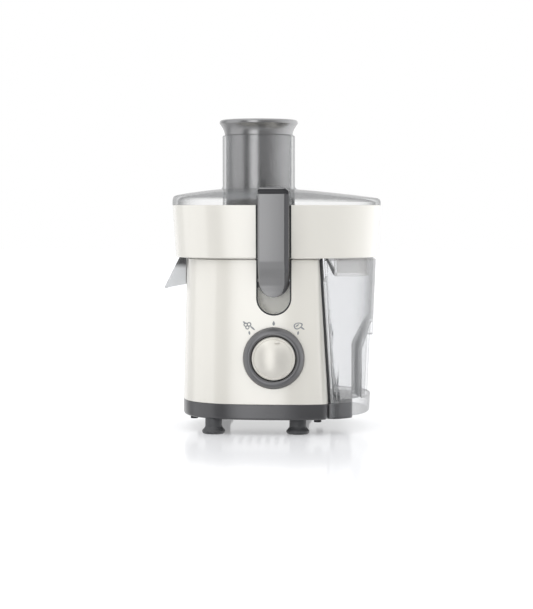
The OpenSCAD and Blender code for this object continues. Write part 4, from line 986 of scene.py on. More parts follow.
def build_tray():
    """A cup under the housing with a round lower edge and air slots, and the container's shelf."""
    inner_z = TRAY_Z + TRAY_WALL
    profile = eased(
        [(-7, TRAY_Z), (0, TRAY_Z), (0, TRAY_TOP), (-TRAY_WALL, TRAY_TOP), (-TRAY_WALL, inner_z),
         (-9, inner_z)],
        [2.5, 0.7, 0.5, 1.0],
    )
    grow = profile[:, 0]
    rings = plan(*housing_half(TRAY_TOP, grow), profile[:, 1], split_out(TRAY_TOP) + grow)
    pitch, half_slot, half_long = 8, 2, 22
    slots = [
        block((x - half_slot, -half_long, TRAY_Z - 2), (x + half_slot, half_long, TRAY_Z + 5), 1.2)
        for x in MOTOR_X + pitch * np.arange(-3, 4)
    ]
    piece("base_tray_cup", stack(rings), "tray_dark", "base_tray", slots)

    shelf_end = edge("base_tray", 0, 1) - BOWL_X
    inset = mm("container_wall") + 0.8
    under = TRAY_TOP - TRAY_WALL
    profile = eased(
        [(8, under), (TRAY_WALL, under), (TRAY_WALL, TRAY_Z), (0, TRAY_Z), (0, TRAY_TOP), (8, TRAY_TOP)],
        [0.8, 0.5, 0.8, 1.2],
    )
    start = mm("split_low") - 1.3
    outlines = [
        (trimmed(*container_half(TRAY_TOP, inset + less), start + less, shelf_end - less, 58 - less,
                 count=160, ease=4.0), z)
        for less, z in profile
    ]
    piece("container_shelf", stack(raised(outlines)), "tray_dark", "base_tray")


def build_feet():
    """Rubber feet as lathes: a pad with a soft edge, a concave bell and a straight neck."""
    pad, neck, top = mm("foot_r"), mm("foot_neck_r"), TRAY_Z + 0.4
    bell = [(neck + (pad - 1.1 - neck) * (1 - t) ** 2.2, 4.0 + 3.2 * t) for t in np.linspace(0, 1, 8)]
    points = [(0, 0), (pad - 1.3, 0), (pad, 1.2), (pad, 2.9), *bell, (neck, top), (0, top)]
    ease = [0.6, 0.9, 0.9, 0.5, *[0.3] * 7, 0.2]
    for name in [f"foot_{end}_{side}" for _, end in ENDS for side in ("left", "right")]:
        centre = (middle(name, 0), middle(name, 1), 0)
        turned(f"rubber_{name}", points, ease, centre, "rubber_and_painted_shade", name, around=96)


# ---- bowl and spout


def duct_outline(grow):
    """The pulp duct's outline: the container's, set in, and cut off at three sides."""
    inset = mm("container_wall") + mm("bowl_wall") + 2.6
    return trimmed(*container_half(DUCT_LOW, inset - grow), 53 - grow, BEYOND, 38 + grow, ease=2.0)


def groove_shade_strip(side, low, width):
    """A dark strip in the groove beside a clamp, painted shade for the deep gap there: it follows
    the bowl's draft, 1.2 mm under its surface."""
    z = np.linspace(SEAM_Z + 0.3, RIM_Z - 0.3, 7)
    out = mm("bowl_half_d") - bowl_loss(z) - 1.2
    y = np.concatenate([out, out[::-1] - 2.4]) * side
    z = np.concatenate([z, z[::-1]])
    return stack([np.column_stack([np.full(len(z), BOWL_X + low + x), y, z]) for x in (0, width)])


def build_bowl():
    """Skirt and ledge as one loop of rings, the round well as a lathe, and the duct as a loop. The
    third value of a skirt point is 1 at the well and 0 at the outline."""
    wall, inner = mm("bowl_wall"), mm("well_r")
    quarter = np.linspace(0, np.pi / 2, 7)
    low = SEAM_Z + mm("bowl_edge") * (1 - np.cos(quarter))
    height = np.concatenate([low, np.linspace(SEAM_Z + 10, RIM_Z, 5)])
    outside = np.column_stack([-bowl_loss(height), height, np.zeros(len(height))])
    under = LEDGE_Z - 2.5
    round_scale = 20
    draft = [(-wall - bowl_loss(z), z, 0) for z in (LEDGE_Z, under, SEAM_Z + 3, SEAM_Z)]
    ledge = [(-wall, LEDGE_Z, round_scale), (-wall, under, round_scale)]
    inside = [(-wall, RIM_Z, 0), draft[0], *ledge, *draft[1:]]
    ease = np.concatenate([[0.3], np.zeros(len(height) - 2), [0.7, 0.6, 1.5, 0.5, 0.5, 0.8, 0.3, 0.3]])
    profile = eased(np.vstack([outside, inside]), ease, closed=True)
    skirt = bowl_rings(profile, 1 - profile[:, 2] / round_scale, inner + 1.0)
    near, far = mm("clamp_w") / 2 + 0.1, mm("clamp_w") / 2 + mm("recess_gap")
    width = far - near
    slot_y, slot_half = 79, 10
    slots = [
        block((x, y - slot_half, SEAM_Z - 2), (x + width, y + slot_half, RIM_Z + 2), 0.05)
        for x in (BOWL_X - far, BOWL_X + near) for y in (-slot_y, slot_y)
    ]
    duct_low, duct_high = 170, 192
    cuts = [prism(duct_outline(0), duct_low, duct_high, "z"), *slots]
    piece("juice_bowl_skirt", stack(skirt, loop=True), "cream_gloss", "juice_bowl", cuts)
    # Dark strips in the slots beside the clamps: painted shade for the deep gaps there
    for v, end in ENDS:
        for side, low in (("left", -far), ("right", near)):
            strip = groove_shade_strip(v, low, width)
            piece(f"clamp_groove_shade_{end}_{side}", strip, "black_and_painted_shade", "juice_bowl")

    floor, collar = SEAM_Z + 2.5, SEAM_Z + 13.5
    collar_out, collar_in, outlet_half = 19, 17, 11
    side = MOTOR_X - inner
    outlet = block((side - 6, -outlet_half, floor), (side + 3, outlet_half, SEAM_Z + 14), 2.0)
    turned(
        "juice_well",
        [(inner + wall, SEAM_Z), (inner + wall, WELL_TOP), (inner, WELL_TOP), (inner, floor),
         (collar_out, floor), (collar_out, collar), (collar_in, collar), (collar_in, SEAM_Z)],
        [0.6, 0.8, 0.8, 3.0, 1.5, 0.5, 0.5, 0.5], (MOTOR_X, 0, 0),
        "cream_gloss", "juice_bowl", closed=True, cuts=[outlet],
    )

    top = LEDGE_Z - 0.6
    profile = eased([(wall, DUCT_LOW), (wall, top), (0, top), (0, DUCT_LOW)], 0.6, closed=True)
    rings = raised([(duct_outline(grow), z) for grow, z in profile])
    # Mostly see-through: painted light for the duct's shade under the bowl
    piece("pulp_duct", stack(rings, loop=True), "duct_painted_light", "juice_bowl")


def build_spout():
    """Open trough under the outlet, and the dark blade beside the pulp duct."""
    eased_copy("spout", "spout_trough", 0.6, "clear_smoke")
    eased_copy("pulp_chute_lip", "pulp_blade", 0.4, "tray_dark")


# ---- lid and pusher


def build_lid():
    """The clear lid as one loop of rings: lip, upright edge, dome, feed tube outside and inside,
    and the dome's underside. A profile's row holds the offset from the outline, the height, the
    outline's share and the circle's radius. The dome's height is edge + rise (1 - share)^0.75."""
    wall, rise = mm("lid_wall"), mm("dome_rise")
    inner = mm("tube_bore") / 2
    outer = inner + mm("tube_wall")
    share = np.array([0.9, 0.85, 0.75, 0.62, 0.48, 0.34, 0.2, 0.1])
    dome = np.column_stack([0 * share, EDGE_Z + rise * (1 - share) ** 0.75, share, outer + 0 * share])
    t = np.linspace(0, 1, 6)
    foot = EDGE_Z + rise * 0.95
    fillet = np.column_stack([0 * t, foot + 3.2 * t**2 + 0.5 * t, 0.05 * (1 - t) ** 2, outer + 0 * t])
    tube = eased(
        [(outer, foot + 8), (outer, TUBE_TOP), (inner, TUBE_TOP), (inner, TUBE_LOW), (outer, TUBE_LOW),
         (outer, foot - wall - 1.2)],
        [1.0, 1.0, 0.8, 0.8],
    )
    tube = np.column_stack([0 * tube[:, 0], tube[:, 1], 0 * tube[:, 0], tube[:, 0]])
    below = dome[::-1] - [wall, wall, 0, 0]
    lip = [
        (-4.5, EDGE_Z - RIM_Z - wall), (-4.5, -4), (-2.7, -4), (-2.7, 0), (0, 0), (-0.05, 2.6),
        (-0.35, 3.8), (-0.95, 4.8), (-1.8, 5.5), (-2.9, 6.05),
    ]
    lip = [(off, RIM_Z + up, 1, outer) for off, up in lip]
    profile = np.vstack([dome, fillet, tube, below, lip])
    rings = bowl_rings(profile, profile[:, 2], profile[:, 3])
    left = np.clip((BOWL_X - rings[..., 0]) / mm("bowl_half_w"), 0, 1)
    above = np.clip((rings[..., 2] - RIM_Z - 0.5) / 4.5, 0, 1)
    shoulder = 2.4
    rings[..., 2] += shoulder * left * above * np.sqrt(profile[:, 2, None])
    piece("clear_lid_and_tube", stack(rings, loop=True), "clear_lid", "lid", sharp=50)
    catch_near, catch_far, catch_half = 65.0, 73.6, 14
    for side, end in ENDS:
        low, high = sorted((side * catch_near, side * catch_far))
        catch = block((BOWL_X - catch_half, low, EDGE_Z - 2), (BOWL_X + catch_half, high, EDGE_Z + 3), 0.8)
        piece(f"lid_catch_{end}", catch, "clear_lid", "lid")


def build_pusher():
    """The pusher as a lathe: a deep cup, and a head that flares in a hollow curve, r + d t^1.7."""
    radius = mm("tube_bore") / 2 - mm("pusher_gap")
    low, high = mm("head_low_r"), mm("head_top_r")
    seat = TUBE_TOP + 0.3
    neck, floor = seat + 0.8, PUSHER_LOW + 2.6
    t = np.linspace(0, 1, 10)[1:]
    flare = list(zip(low + (high - low) * t**1.7, neck + (PUSHER_TOP - 3.2 - neck) * t))
    turned(
        "pusher_cup",
        [(0, PUSHER_LOW), (radius, PUSHER_LOW), (radius, seat), (low, seat), (low, neck), *flare,
         (high - 0.3, PUSHER_TOP - 0.8), (high - 2.2, PUSHER_TOP), (radius - 1.4, PUSHER_TOP),
         (radius - 2.4, PUSHER_TOP - 2.5), (radius - 3.0, floor), (0, floor)],
        [1.5, 0.3, 0.3, 0.3, *[0.5] * 8, 1.0, 1.0, 1.2, 0.8, 1.0, 2.0], (MOTOR_X, 0, 0),
        "pusher_grey", "pusher", sharp=40,
    )


# ---- clamps


def spread(points, count=320, window=3):
    """A path spread evenly over its control points and averaged over a window, ends held."""
    points = np.asarray(points, float)
    spots = np.linspace(0, len(points) - 1, count)
    path = np.stack([np.interp(spots, np.arange(len(points)), points[:, k]) for k in (0, 1)], -1)
    padded = np.pad(path, ((window, window), (0, 0)), mode="edge")
    kernel = np.ones(2 * window + 1) / (2 * window + 1)
    even = np.stack([np.convolve(padded[:, k], kernel, "valid") for k in (0, 1)], -1)
    even[0], even[-1] = path[0], path[-1]
    return even


def clamp_rings(side):
    """A clamp as sections across its arm. Each runs between a point of its outer path and one of
    its inner path, given as the distance inside the reach and the height, and its half width is the
    arm's, or sqrt(w^2 - drop^2) in the round lower end."""
    half, wide, thick = mm("clamp_w") / 2, 13, 6
    top, hook, toe = CLAMP_TOP, CLAMP_TOP - 6.5, edge("front_clamp", 2, 0)
    outer = [
        (15, top), (6, top), (2.4, top - 0.2), (0.9, top - 0.8), (0.8, top - 1.5), (2, top - 1.7),
        (1.9, top - 5.4), (0.2, top - 5.6), (0, top - 7.6), (0, SEAM_Z + 30), (0, SEAM_Z + 3),
        (0.6, SEAM_Z - 2), (3.4, PIN_Z + 10), (7.5, PIN_Z + 3), (10.6, PIN_Z - 4), (11.8, PIN_Z - 9),
        (12.4, toe),
    ]
    inner = [
        (15, hook), (8, hook), (7.4, hook), (6.8, hook - 0.1), (6.3, hook - 0.4), (6.1, hook - 0.9),
        (6, hook - 1.6), (6, hook - 2.2), (6, top - 12), (6, SEAM_Z + 30), (6, SEAM_Z + 4),
        (7, SEAM_Z - 1), (10.5, PIN_Z + 9), (20, PIN_Z + 4), (21.7, PIN_Z - 1), (19, PIN_Z - 6),
        (15.4, toe),
    ]
    outer, inner = [
        spread([(mm("clamp_reach") - less, z) for less, z in path])[:, None] for path in (outer, inner)
    ]
    section = eased(
        [(-wide, 1.5), (-11.7, 0), (9.4, 0), (wide, 2.6), (wide, thick), (-wide, thick)],
        [0.4, 0.4, 0.4, 0.5, 0.6, 0.6], closed=True,
    )
    across, depth = section[:, 0] / wide, (section[:, 1] / thick)[None, :, None]
    flat = outer * (1 - depth) + inner * depth
    fall = np.clip(toe + half - flat[..., 1], 0, half)
    width = np.sqrt(np.maximum(half**2 - fall**2, 0))
    return np.stack([BOWL_X + across * width, side * flat[..., 0], flat[..., 1]], -1)


def build_clamps():
    """Both clamp arms, a dark band below the hook painted for the dark reflection where the top turns
    in, the right side painted darker for shade, and the plates behind their toes.
    """
    for side, end in ENDS:
        body = f"{end}_clamp"
        arm = piece(f"{body}_arm", stack(clamp_rings(side)), "clamp_grey", body, sharp=40)
        spot, normal = face_places(arm)
        # The recessed band below the hook is painted dark: a painted dark reflection where the top turns in
        painted_band = (spot[:, 2] < CLAMP_TOP - 1.6) & (spot[:, 2] > CLAMP_TOP - 5.55)
        painted_band &= np.abs(spot[:, 1]) > mm("clamp_reach") - 3
        # Faces turned to the right get a darker copy of the plastic: painted shade
        shade_faces = (normal[:, 0] > 0.3) & (spot[:, 0] > BOWL_X + 8)
        paint(arm, np.where(painted_band, 1, 2 * shade_faces), "black_and_painted_shade", "clamp_painted_shade")
    for _, end in ENDS:
        eased_copy(f"{end}_recess_plate", f"{end}_recess_plate_eased", 0.3, "plate_grey")


# ---- knob and dial marks


def build_knob():
    """Bezel and cap as lathes that face the front, and the cap's raised pointer."""
    bezel_r, cap, hole = mm("bezel_r"), mm("cap_r"), 8.5
    seat = (BOWL_X, -DIAL_SEAT, KNOB_Z)
    turned(
        "dial_bezel",
        [(hole, 0), (bezel_r, 0), (bezel_r, 1.6), (bezel_r - 1.2, 4.2), (bezel_r - 3.4, 6.6), (20.6, 7),
         (cap + 0.7, 6.0), (cap + 0.7, 1.2), (hole, 1.2)],
        [0.3, 0.3, 0.7, 1.4, 1.6, 0.9, 0.6, 0.3, 0.3], seat, "bezel_grey", "knob_bezel", "front", True,
    )
    r = np.linspace(cap - 2.3, 0, 12)
    crown, ball_r = 13, 31.0
    dome = list(zip(r, crown - ball_r + np.sqrt(ball_r**2 - r**2)))
    turned(
        "knob_cap_face",
        [(0, 8.0), (cap - 2, 6.6), (cap - 2, 2.2), (cap, 2.2), (cap, 7.0), (cap - 0.8, 8.5),
         (cap - 1.7, 8.9), (cap - 2.0, 8.4), *dome],
        [1.0, 0.5, 0.5, 1.0, 0.5, 0.15, 0.1, 0.1, *[0.8] * 10], seat, "knob_satin", "knob_cap", "front",
    )
    low = (BOWL_X + 1.2, -DIAL_SEAT - 11.6, KNOB_Z + cap - 5.2)
    high = (BOWL_X + 5.8, -DIAL_SEAT - 9.4, KNOB_Z + cap - 3.0)
    piece("knob_pointer", block(low, high, 0.9), "knob_satin", "knob_cap", stands_in=False)


def on_front(flat, lift):
    """Points drawn as (x, z) from the knob's axis, laid on the housing's front and lifted off it."""
    x, z = BOWL_X + flat[..., 0], KNOB_Z + flat[..., 1]
    return np.stack([x, -front_out(x, z) - lift, z], -1)


def printed(outer, inner):
    """A thin printed band between two closed outlines, laid on the housing's front."""
    ink = 0.1
    edges = ((outer, 0.0), (outer, ink), (inner, ink), (inner, 0.0))
    return stack([on_front(flat, lift) for flat, lift in edges], loop=True)


def blob(centre, size, turn, wave=0.0, pinch=0.0, steps=48):
    """A closed outline: an ellipse of the given half sizes, waved by 1 + wave cos(3 t) and pinched to
    a point at its top, then turned and moved."""
    t = np.linspace(0, 2 * np.pi, steps, endpoint=False)
    gain = 1 + wave * np.cos(3 * t)
    x = size[0] * np.cos(t) * gain * (1 - pinch * np.clip(np.sin(t), 0, 1))
    y = size[1] * np.sin(t) * gain
    c, s = math.cos(turn), math.sin(turn)
    return np.stack([centre[0] + c * x - s * y, centre[1] + s * x + c * y], -1)


# Share of a mark's outline that stays hollow where it is filled
FILLED = 0.02


def fruit_marks(side, centre):
    """The outlines beside a tick: a bunch of round berries on the left, one hard fruit on the right,
    each with a stalk and a leaf. Each is (outline, share of it that stays hollow)."""
    if side < 0:
        berries = ((-2.6, 1.2, 1.9), (0.2, 1.5, 2.0), (-1.2, -1.1, 1.8))
        shapes = [
            (blob(centre + [dx, dy], (size, size * 0.95), 0.3 * k), 0.52)
            for k, (dx, dy, size) in enumerate(berries)
        ]
        leaves = ((3.2, -1.6, 0.7, 2.5, 0.85), (-3.6, 2.9, 0.7, 1.7, 0.9))
    else:
        shapes = [(blob(centre + [-0.6, 0.4], (3.9, 2.7), 0.35, wave=0.07), 0.72)]
        leaves = ((3.0, -1.6, 0.65, 2.2, 1.0), (-1.2, 0.6, 0.55, 1.7, -0.9))
    return shapes + [(blob(centre + [dx, dy], size, turn), FILLED) for dx, dy, *size, turn in leaves]


def build_marks():
    """Dial marks: a drop above the knob, a tick at each side, and a soft and a hard fruit."""
    radius = mm("marks_r")
    turn = size("marks_turn")
    shapes = [(blob((0, radius), (1.1, 2.0), 0, pinch=0.85), FILLED)]
    for side in (-1, 1):
        spot = radius * np.array([side * math.sin(turn), math.cos(turn)])
        shapes.append((blob(spot, (0.75, 1.5), -side * 0.15), FILLED))
        shapes += fruit_marks(side, spot + [0.5 * side, 5.7])
    parts, faces, base = [], [], 0
    for outer, hollow in shapes:
        centre = outer.mean(0)
        points, quads = printed(outer, centre + (outer - centre) * hollow)
        parts.append(points)
        faces += [quad + base for quad in outward(points, quads)]
        base += len(points)
    piece("dial_print", (np.vstack(parts), faces), "print_grey", "dial_marks")


# ---- pulp container


def container_shape(profile):
    """A closed shape from (inset, height) points: the plan outline right of the housing's slanted
    wall, with the corners rounded, set in at each height."""
    gap = mm("container_gap")
    return stack(raised(
        (trimmed(*container_half(z, inset), split_out(z) + gap + inset, BEYOND, BEYOND, ease=6.0), z)
        for inset, z in profile
    ))


def pocket_cutters(grow, low=-10):
    """The finger pockets beside the grip rib: a leaning wall, a sloping ceiling, open outwards."""
    x, ceiling, beyond = BOWL_X + 74.5 - grow, 94 + grow, BOWL_X + 120
    outline = eased(
        [(x, low), (x, 72 + grow), (BOWL_X + 84, ceiling), (beyond, ceiling), (beyond, low)],
        [3.0, 3.0, 0.1],
    )
    rib_half, upright = 12, 42
    depth = np.array([rib_half - grow, 16, 22, 30, upright, 110])
    lean = 6.0 * np.maximum(0, (upright - depth) / (upright - rib_half)) ** 1.3
    cutters = []
    for side, _ in ENDS:
        rings = [(outline - [less, 0])[:, [0, 0, 1]] for less in lean]
        for ring, y in zip(rings, depth):
            ring[:, 1] = side * y
        cutters.append(stack(rings[::side]))
    return cutters


def rib_cutter(inset, low):
    """What stands beyond the rib's outer end: a slab whose inner face follows the container's
    outline, set in."""
    across = np.linspace(-18, 18, 25)
    levels = np.array([low, low + 10, 60.0, 82.0])[:, None]
    half_w, half_d = container_half(levels, inset)
    near = BOWL_X + depth_at(across, half_d, half_w)
    y, z = np.broadcast_arrays(across, levels)
    inner = np.stack([near, y, z], -1)
    outer = np.stack([np.full_like(near, 130), y, z], -1)
    return stack(np.concatenate([inner, outer[:, ::-1]], 1))


def build_container():
    """The clear pulp container: an outer solid less its pockets, hollowed by a smaller one."""
    wall, low, top = mm("container_wall"), CONTAINER_LOW, CONTAINER_TOP
    floor, rib_inset = TRAY_TOP + 3.0, 2.5
    outside = eased([(9, low), (0, low), (0, 60), (0, 100), (0, top), (9, top)], [2.2, 0.1, 0.1, 0.9])
    box = new_object("pulp_container_shell", container_shape(outside))
    carve(box, *pocket_cutters(0, floor), rib_cutter(rib_inset, floor))
    inner = wall + 9
    inside = eased(
        [(inner, floor), (wall, floor), (wall, 60), (wall, 100), (wall, top + 2), (inner, top + 2)],
        [2.2, 0.1, 0.1, 0.1],
    )
    cavity = new_object("cavity", container_shape(inside))
    carve(cavity, *pocket_cutters(wall), rib_cutter(rib_inset + wall, low - 4))
    hollow = shape_of(cavity)
    drop(cavity)
    ground = floor - 2.4
    foot = eased([(inner, low - 2), (wall, low - 2), (wall, ground), (inner, ground)], 0.6)
    left = BOWL_X + mm("split_low") + mm("container_gap") + wall
    carve(
        box, hollow, container_shape(foot),
        block((BOWL_X - 10, -60, -5), (left + 1, 60, ground), 0.5),
        block((BOWL_X - 10, -58, DUCT_LOW - 4), (left, 58, top + 5), 3.0),
    )
    dress(box, "clear_container", "pulp_container", sharp=40)


# ---- filter basket and inner parts


def build_filter():
    """The grating disc: a plate and rings of raised teeth, each a small leaning pyramid."""
    radius, thick = mm("disc_r"), 0.8
    profile = eased([(0, 0), (radius, 0), (radius, thick), (0, thick)], 0.2)
    plate_points, plate_faces = lathe(profile, (MOTOR_X, 0, FILTER_Z), around=160)
    tooth = np.array(
        [(-1.3, -0.9, 0), (1.3, -0.9, 0), (1.0, 0.9, 0), (-1.0, 0.9, 0), (-0.5, -0.75, 0.9),
         (0.5, -0.75, 0.9)]
    )
    quads = np.array([(0, 1, 5, 4), (3, 2, 1, 0), (4, 5, 2, 3)])
    sides = np.array([(0, 4, 3), (1, 2, 5)])
    first_in, ring_pitch, per_mm = 3, 7, 0.9
    spots = []
    for ring in range(size("tooth_rings")):
        out = radius - first_in - ring_pitch * ring
        count = max(6, int(out * per_mm))
        turn = 2 * np.pi * (np.arange(count) + (ring + 1) / 2) / count
        spots.append(np.column_stack([np.full(count, out), turn]))
    spots = np.vstack(spots)
    cos, sin = np.cos(spots[:, 1])[:, None], np.sin(spots[:, 1])[:, None]
    across, along, up = tooth.T[:, None]
    out = spots[:, :1] + along
    z = np.broadcast_to(FILTER_Z + 0.75 + up, out.shape)
    teeth = np.stack([MOTOR_X + cos * out - sin * across, sin * out + cos * across, z], -1)
    shift = np.arange(len(spots))[:, None, None] * len(tooth) + len(plate_points)
    points = np.vstack([plate_points, teeth.reshape(-1, 3)])
    faces = [*plate_faces, (quads + shift).reshape(-1, 4), (sides + shift).reshape(-1, 3)]
    piece("grating_disc_teeth", (points, faces), "grating_steel", "grating_disc", sharp=25)


def dress_frame_nodes():
    """Every frame node gets its finish by its name or its material slot."""
    for node, slot in NODE_SLOT.items():
        obj = frame["nodes"][node]
        material = finish(NODE_FINISH.get(node) or SLOT_FINISH[slot])
        if not obj.material_slots:
            obj.data.materials.append(material)
        for held in obj.material_slots:
            held.material = material


# ---- stage


# The studio's panels as (azimuth in degrees from the front, towards +X; brightness)
PANELS = (
    (-180, 0.9), (-165, 1.0), (-148, 1.1), (-130, 0.7), (-114, 0.55), (-104, 1.1), (-66, 1.1),
    (-56, 1.1), (-50, 0.3), (-39, 0.12), (-34, 0.3), (-27, 1.3), (-19, 1.9), (-3, 2.15), (2, 0.2),
    (8, 0.1), (12, 0.33), (36, 0.4), (55, 0.65), (72, 1.0), (94, 1.3), (110, 1.55), (134, 1.6),
    (180, 0.9),
)
CEILING, FLOOR_GLOW = 1.1, 0.7
BRIGHTEST = 2.5
WHITE = (1, 1, 1, 1)

# The floor mirrors the object near it and is matt further off, in metres from the origin
FLOOR_HALF, MIRROR_NEAR, MIRROR_FAR = 6.0, 0.12, 0.62
FLOOR_LIFT = 0.24

CAMERA_FAR, CAMERA_TURN = 1528, math.radians(2.6)
CAMERA_UP, TARGET_UP, TARGET_X = 195, 107.4, -6.2
CAMERA_LENS, CAMERA_SENSOR = 102.6, 36


def seen_white(tree, shader, strength):
    """Adds white light of its own for the camera, glossy and clear rays, so that the stage looks
    white without lighting the object."""
    ray = put(tree, "LightPath").outputs
    seen = maths(tree, "MAXIMUM", ray["Is Camera Ray"], ray["Is Glossy Ray"])
    seen = maths(tree, "MAXIMUM", seen, ray["Is Transmission Ray"])
    lift = maths(tree, "MULTIPLY", seen, strength)
    glow = put(tree, "Emission", {"Color": WHITE, "Strength": lift}).outputs[0]
    return put(tree, "AddShader", {0: shader, 1: glow}).outputs[0]


def build_floor():
    """A pale floor, faintly polished round the object. It keeps the object's shadow and, near it, a
    dim mirror image."""
    mesh = bpy.data.meshes.new("floor")
    corners = [(x * FLOOR_HALF, y * FLOOR_HALF, 0) for x, y in ((-1, -1), (1, -1), (1, 1), (-1, 1))]
    mesh.from_pydata(corners, [], [(0, 1, 2, 3)])
    floor = add_object("floor", mesh)
    material, tree, shader = new_material("floor_pale")
    skin = effect(
        tree, "moulded_skin", Colour=opaque(234, 235, 238), Drift=0.003, Roughness=0.12, Spread=0.02,
        Grain_depth=0.0,
    )
    feed(shader, {
        "Base Color": skin["Colour"], "Roughness": skin["Roughness"], "Specular IOR Level": 0.14
    })
    matt = put(tree, "BsdfDiffuse", {"Color": skin["Colour"]}).outputs[0]
    away = vectors(tree, "LENGTH", {0: place(tree)}, "Value")
    both = blend_shaders(tree, smooth(tree, away, MIRROR_NEAR, MIRROR_FAR), shader.outputs[0], matt)
    show(tree, seen_white(tree, both, FLOOR_LIFT))
    mesh.materials.append(material)
    floor.visible_glossy = False


def panel_light(tree):
    """Brightness by direction: the panels' levels by azimuth, blended into an even ceiling above 20
    to 40 degrees and into an even glow from below."""
    calc = partial(maths, tree)
    x, y, z = axes(tree, place(tree, "Generated"))
    turn = calc("ARCTAN2", x, calc("MULTIPLY", y, -1.0))
    spot = calc("MULTIPLY_ADD", turn, 1 / (2 * math.pi), 0.5)
    ramp = put(tree, "ValToRGB", {"Fac": spot})
    steps = ramp.color_ramp.elements
    for k, (azimuth, level) in enumerate(PANELS):
        where = azimuth / 360 + 0.5
        step = steps[k] if k < 2 else steps.new(where)
        step.position = where
        step.color = (*[level / BRIGHTEST] * 3, 1)
    level = calc("MULTIPLY", ramp.outputs["Color"], BRIGHTEST)
    for sign, low, high, even in ((1.0, 0.34, 0.64, CEILING), (-1.0, 0.45, 0.8, FLOOR_GLOW)):
        share = smooth(tree, calc("MULTIPLY", z, sign), low, high)
        level = calc("ADD", level, calc("MULTIPLY", calc("SUBTRACT", even, level), share))
    return level


def build_world():
    """Soft studio panels all round, and plain white where the camera looks past the object."""
    world = bpy.data.worlds.new("studio")
    bpy.context.scene.world = world
    world.use_nodes = True
    tree = world.node_tree
    tree.nodes.clear()
    ray = put(tree, "LightPath").outputs
    seen = maths(tree, "MAXIMUM", ray["Is Camera Ray"], ray["Is Transmission Ray"])
    soft, white = [
        put(tree, "Background", {"Color": WHITE, "Strength": strength}).outputs[0]
        for strength in (panel_light(tree), 1.0)
    ]
    put(tree, "OutputWorld", {"Surface": blend_shaders(tree, seen, soft, white)})


def look_at(obj, spot, target):
    x, y, z = np.array(target, float) - spot
    obj.location = np.array(spot) * MM
    obj.rotation_euler = (math.atan2(z, math.hypot(x, y)) + math.pi / 2, 0, math.atan2(y, x) - math.pi / 2)


def soft_box(name, spot, target, side, power):
    data = bpy.data.lights.new(name, "AREA")
    data.shape = "SQUARE"
    data.size = side * MM
    data.energy = power
    look_at(add_object(name, data), spot, target)


def build_stage():
    """Floor, world, soft box and the camera."""
    build_floor()
    build_world()
    soft_box("key_left", (-700, -900, 1300), (0, 0, 120), 700, 1)
    data = bpy.data.cameras.new("camera")
    data.lens = CAMERA_LENS
    data.sensor_fit = "VERTICAL"
    data.sensor_height = CAMERA_SENSOR
    data.clip_end = 20
    camera = add_object("camera", data)
    across, out = CAMERA_FAR * math.sin(CAMERA_TURN), CAMERA_FAR * math.cos(CAMERA_TURN)
    look_at(camera, (TARGET_X + across, -out, CAMERA_UP), (TARGET_X, 0, TARGET_UP))
    bpy.context.scene.camera = camera
    bpy.context.scene.view_settings.view_transform = "Standard"


# ---- operators and panel


class JuicerStep:
    """What every step shares: it runs its builder and reports the end."""

    bl_options = {"REGISTER", "UNDO"}
    steps = ()

    def execute(self, context):
        for step in self.steps:
            step()
        return {"FINISHED"}


class JUICER_OT_frame_finishes(JuicerStep, bpy.types.Operator):
    """Give every part of the frame its finish"""

    bl_idname = "juicer.frame_finishes"
    bl_label = "Frame finishes"
    steps = (dress_frame_nodes,)


class JUICER_OT_housing(JuicerStep, bpy.types.Operator):
    """Build the motor housing and its recess walls"""

    bl_idname = "juicer.housing"
    bl_label = "Motor housing"
    steps = (build_housing,)


class JUICER_OT_tray(JuicerStep, bpy.types.Operator):
    """Build the tray, the container's shelf and the feet"""

    bl_idname = "juicer.tray"
    bl_label = "Tray and feet"
    steps = (build_tray, build_feet)


class JUICER_OT_bowl(JuicerStep, bpy.types.Operator):
    """Build the juice bowl, the pulp duct, the spout and the blade"""

    bl_idname = "juicer.bowl"
    bl_label = "Juice bowl and spout"
    steps = (build_bowl, build_spout)


class JUICER_OT_lid(JuicerStep, bpy.types.Operator):
    """Build the clear lid with its feed tube"""

    bl_idname = "juicer.lid"
    bl_label = "Lid"
    steps = (build_lid,)


class JUICER_OT_pusher(JuicerStep, bpy.types.Operator):
    """Build the pusher"""

    bl_idname = "juicer.pusher"
    bl_label = "Pusher"
    steps = (build_pusher,)


class JUICER_OT_clamps(JuicerStep, bpy.types.Operator):
    """Build both clamps and the plates behind them"""

    bl_idname = "juicer.clamps"
    bl_label = "Clamps"
    steps = (build_clamps,)


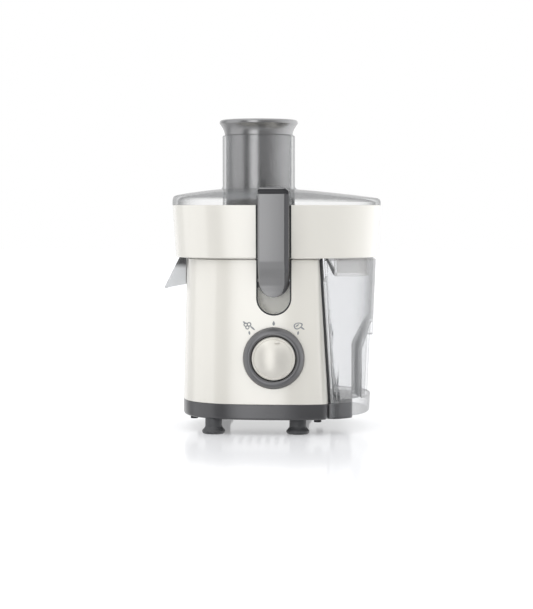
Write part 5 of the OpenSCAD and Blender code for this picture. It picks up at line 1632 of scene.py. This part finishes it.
class JUICER_OT_knob(JuicerStep, bpy.types.Operator):
    """Build the dial's bezel, the knob and the marks round it"""

    bl_idname = "juicer.knob"
    bl_label = "Knob and marks"
    steps = (build_knob, build_marks)


class JUICER_OT_container(JuicerStep, bpy.types.Operator):
    """Build the clear pulp container"""

    bl_idname = "juicer.container"
    bl_label = "Pulp container"
    steps = (build_container,)


class JUICER_OT_filter(JuicerStep, bpy.types.Operator):
    """Build the grating disc of the filter basket"""

    bl_idname = "juicer.filter"
    bl_label = "Filter basket"
    steps = (build_filter,)


class JUICER_OT_stage(JuicerStep, bpy.types.Operator):
    """Set up the floor, the light and the camera"""

    bl_idname = "juicer.stage"
    bl_label = "Stage"
    steps = (build_stage,)


STEPS = (
    JUICER_OT_frame_finishes, JUICER_OT_housing, JUICER_OT_tray, JUICER_OT_bowl, JUICER_OT_lid,
    JUICER_OT_pusher, JUICER_OT_clamps, JUICER_OT_knob, JUICER_OT_container, JUICER_OT_filter,
    JUICER_OT_stage,
)


class JUICER_PT_panel(bpy.types.Panel):
    bl_label = "Juicer"
    bl_idname = "JUICER_PT_panel"
    bl_space_type = "VIEW_3D"
    bl_region_type = "UI"
    bl_category = "Juicer"

    def draw(self, context):
        for step in STEPS:
            self.layout.operator(step.bl_idname)
        for holder in (context.scene.juicer_sizes, context.scene.juicer_colours):
            box = self.layout.box()
            for name in holder.__annotations__:
                box.prop(holder, name)


CLASSES = (JuicerSizes, JuicerColours, *STEPS, JUICER_PT_panel)


def register():
    for cls in CLASSES:
        bpy.utils.register_class(cls)
    bpy.types.Scene.juicer_sizes = bpy.props.PointerProperty(type=JuicerSizes)
    bpy.types.Scene.juicer_colours = bpy.props.PointerProperty(type=JuicerColours)


def unregister():
    del bpy.types.Scene.juicer_colours
    del bpy.types.Scene.juicer_sizes
    for cls in reversed(CLASSES):
        bpy.utils.unregister_class(cls)


def main():
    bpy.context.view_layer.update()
    register()
    for step in STEPS:
        group_name, name = step.bl_idname.split(".")
        getattr(getattr(bpy.ops, group_name), name)()


if __name__ == "__main__":
    main()
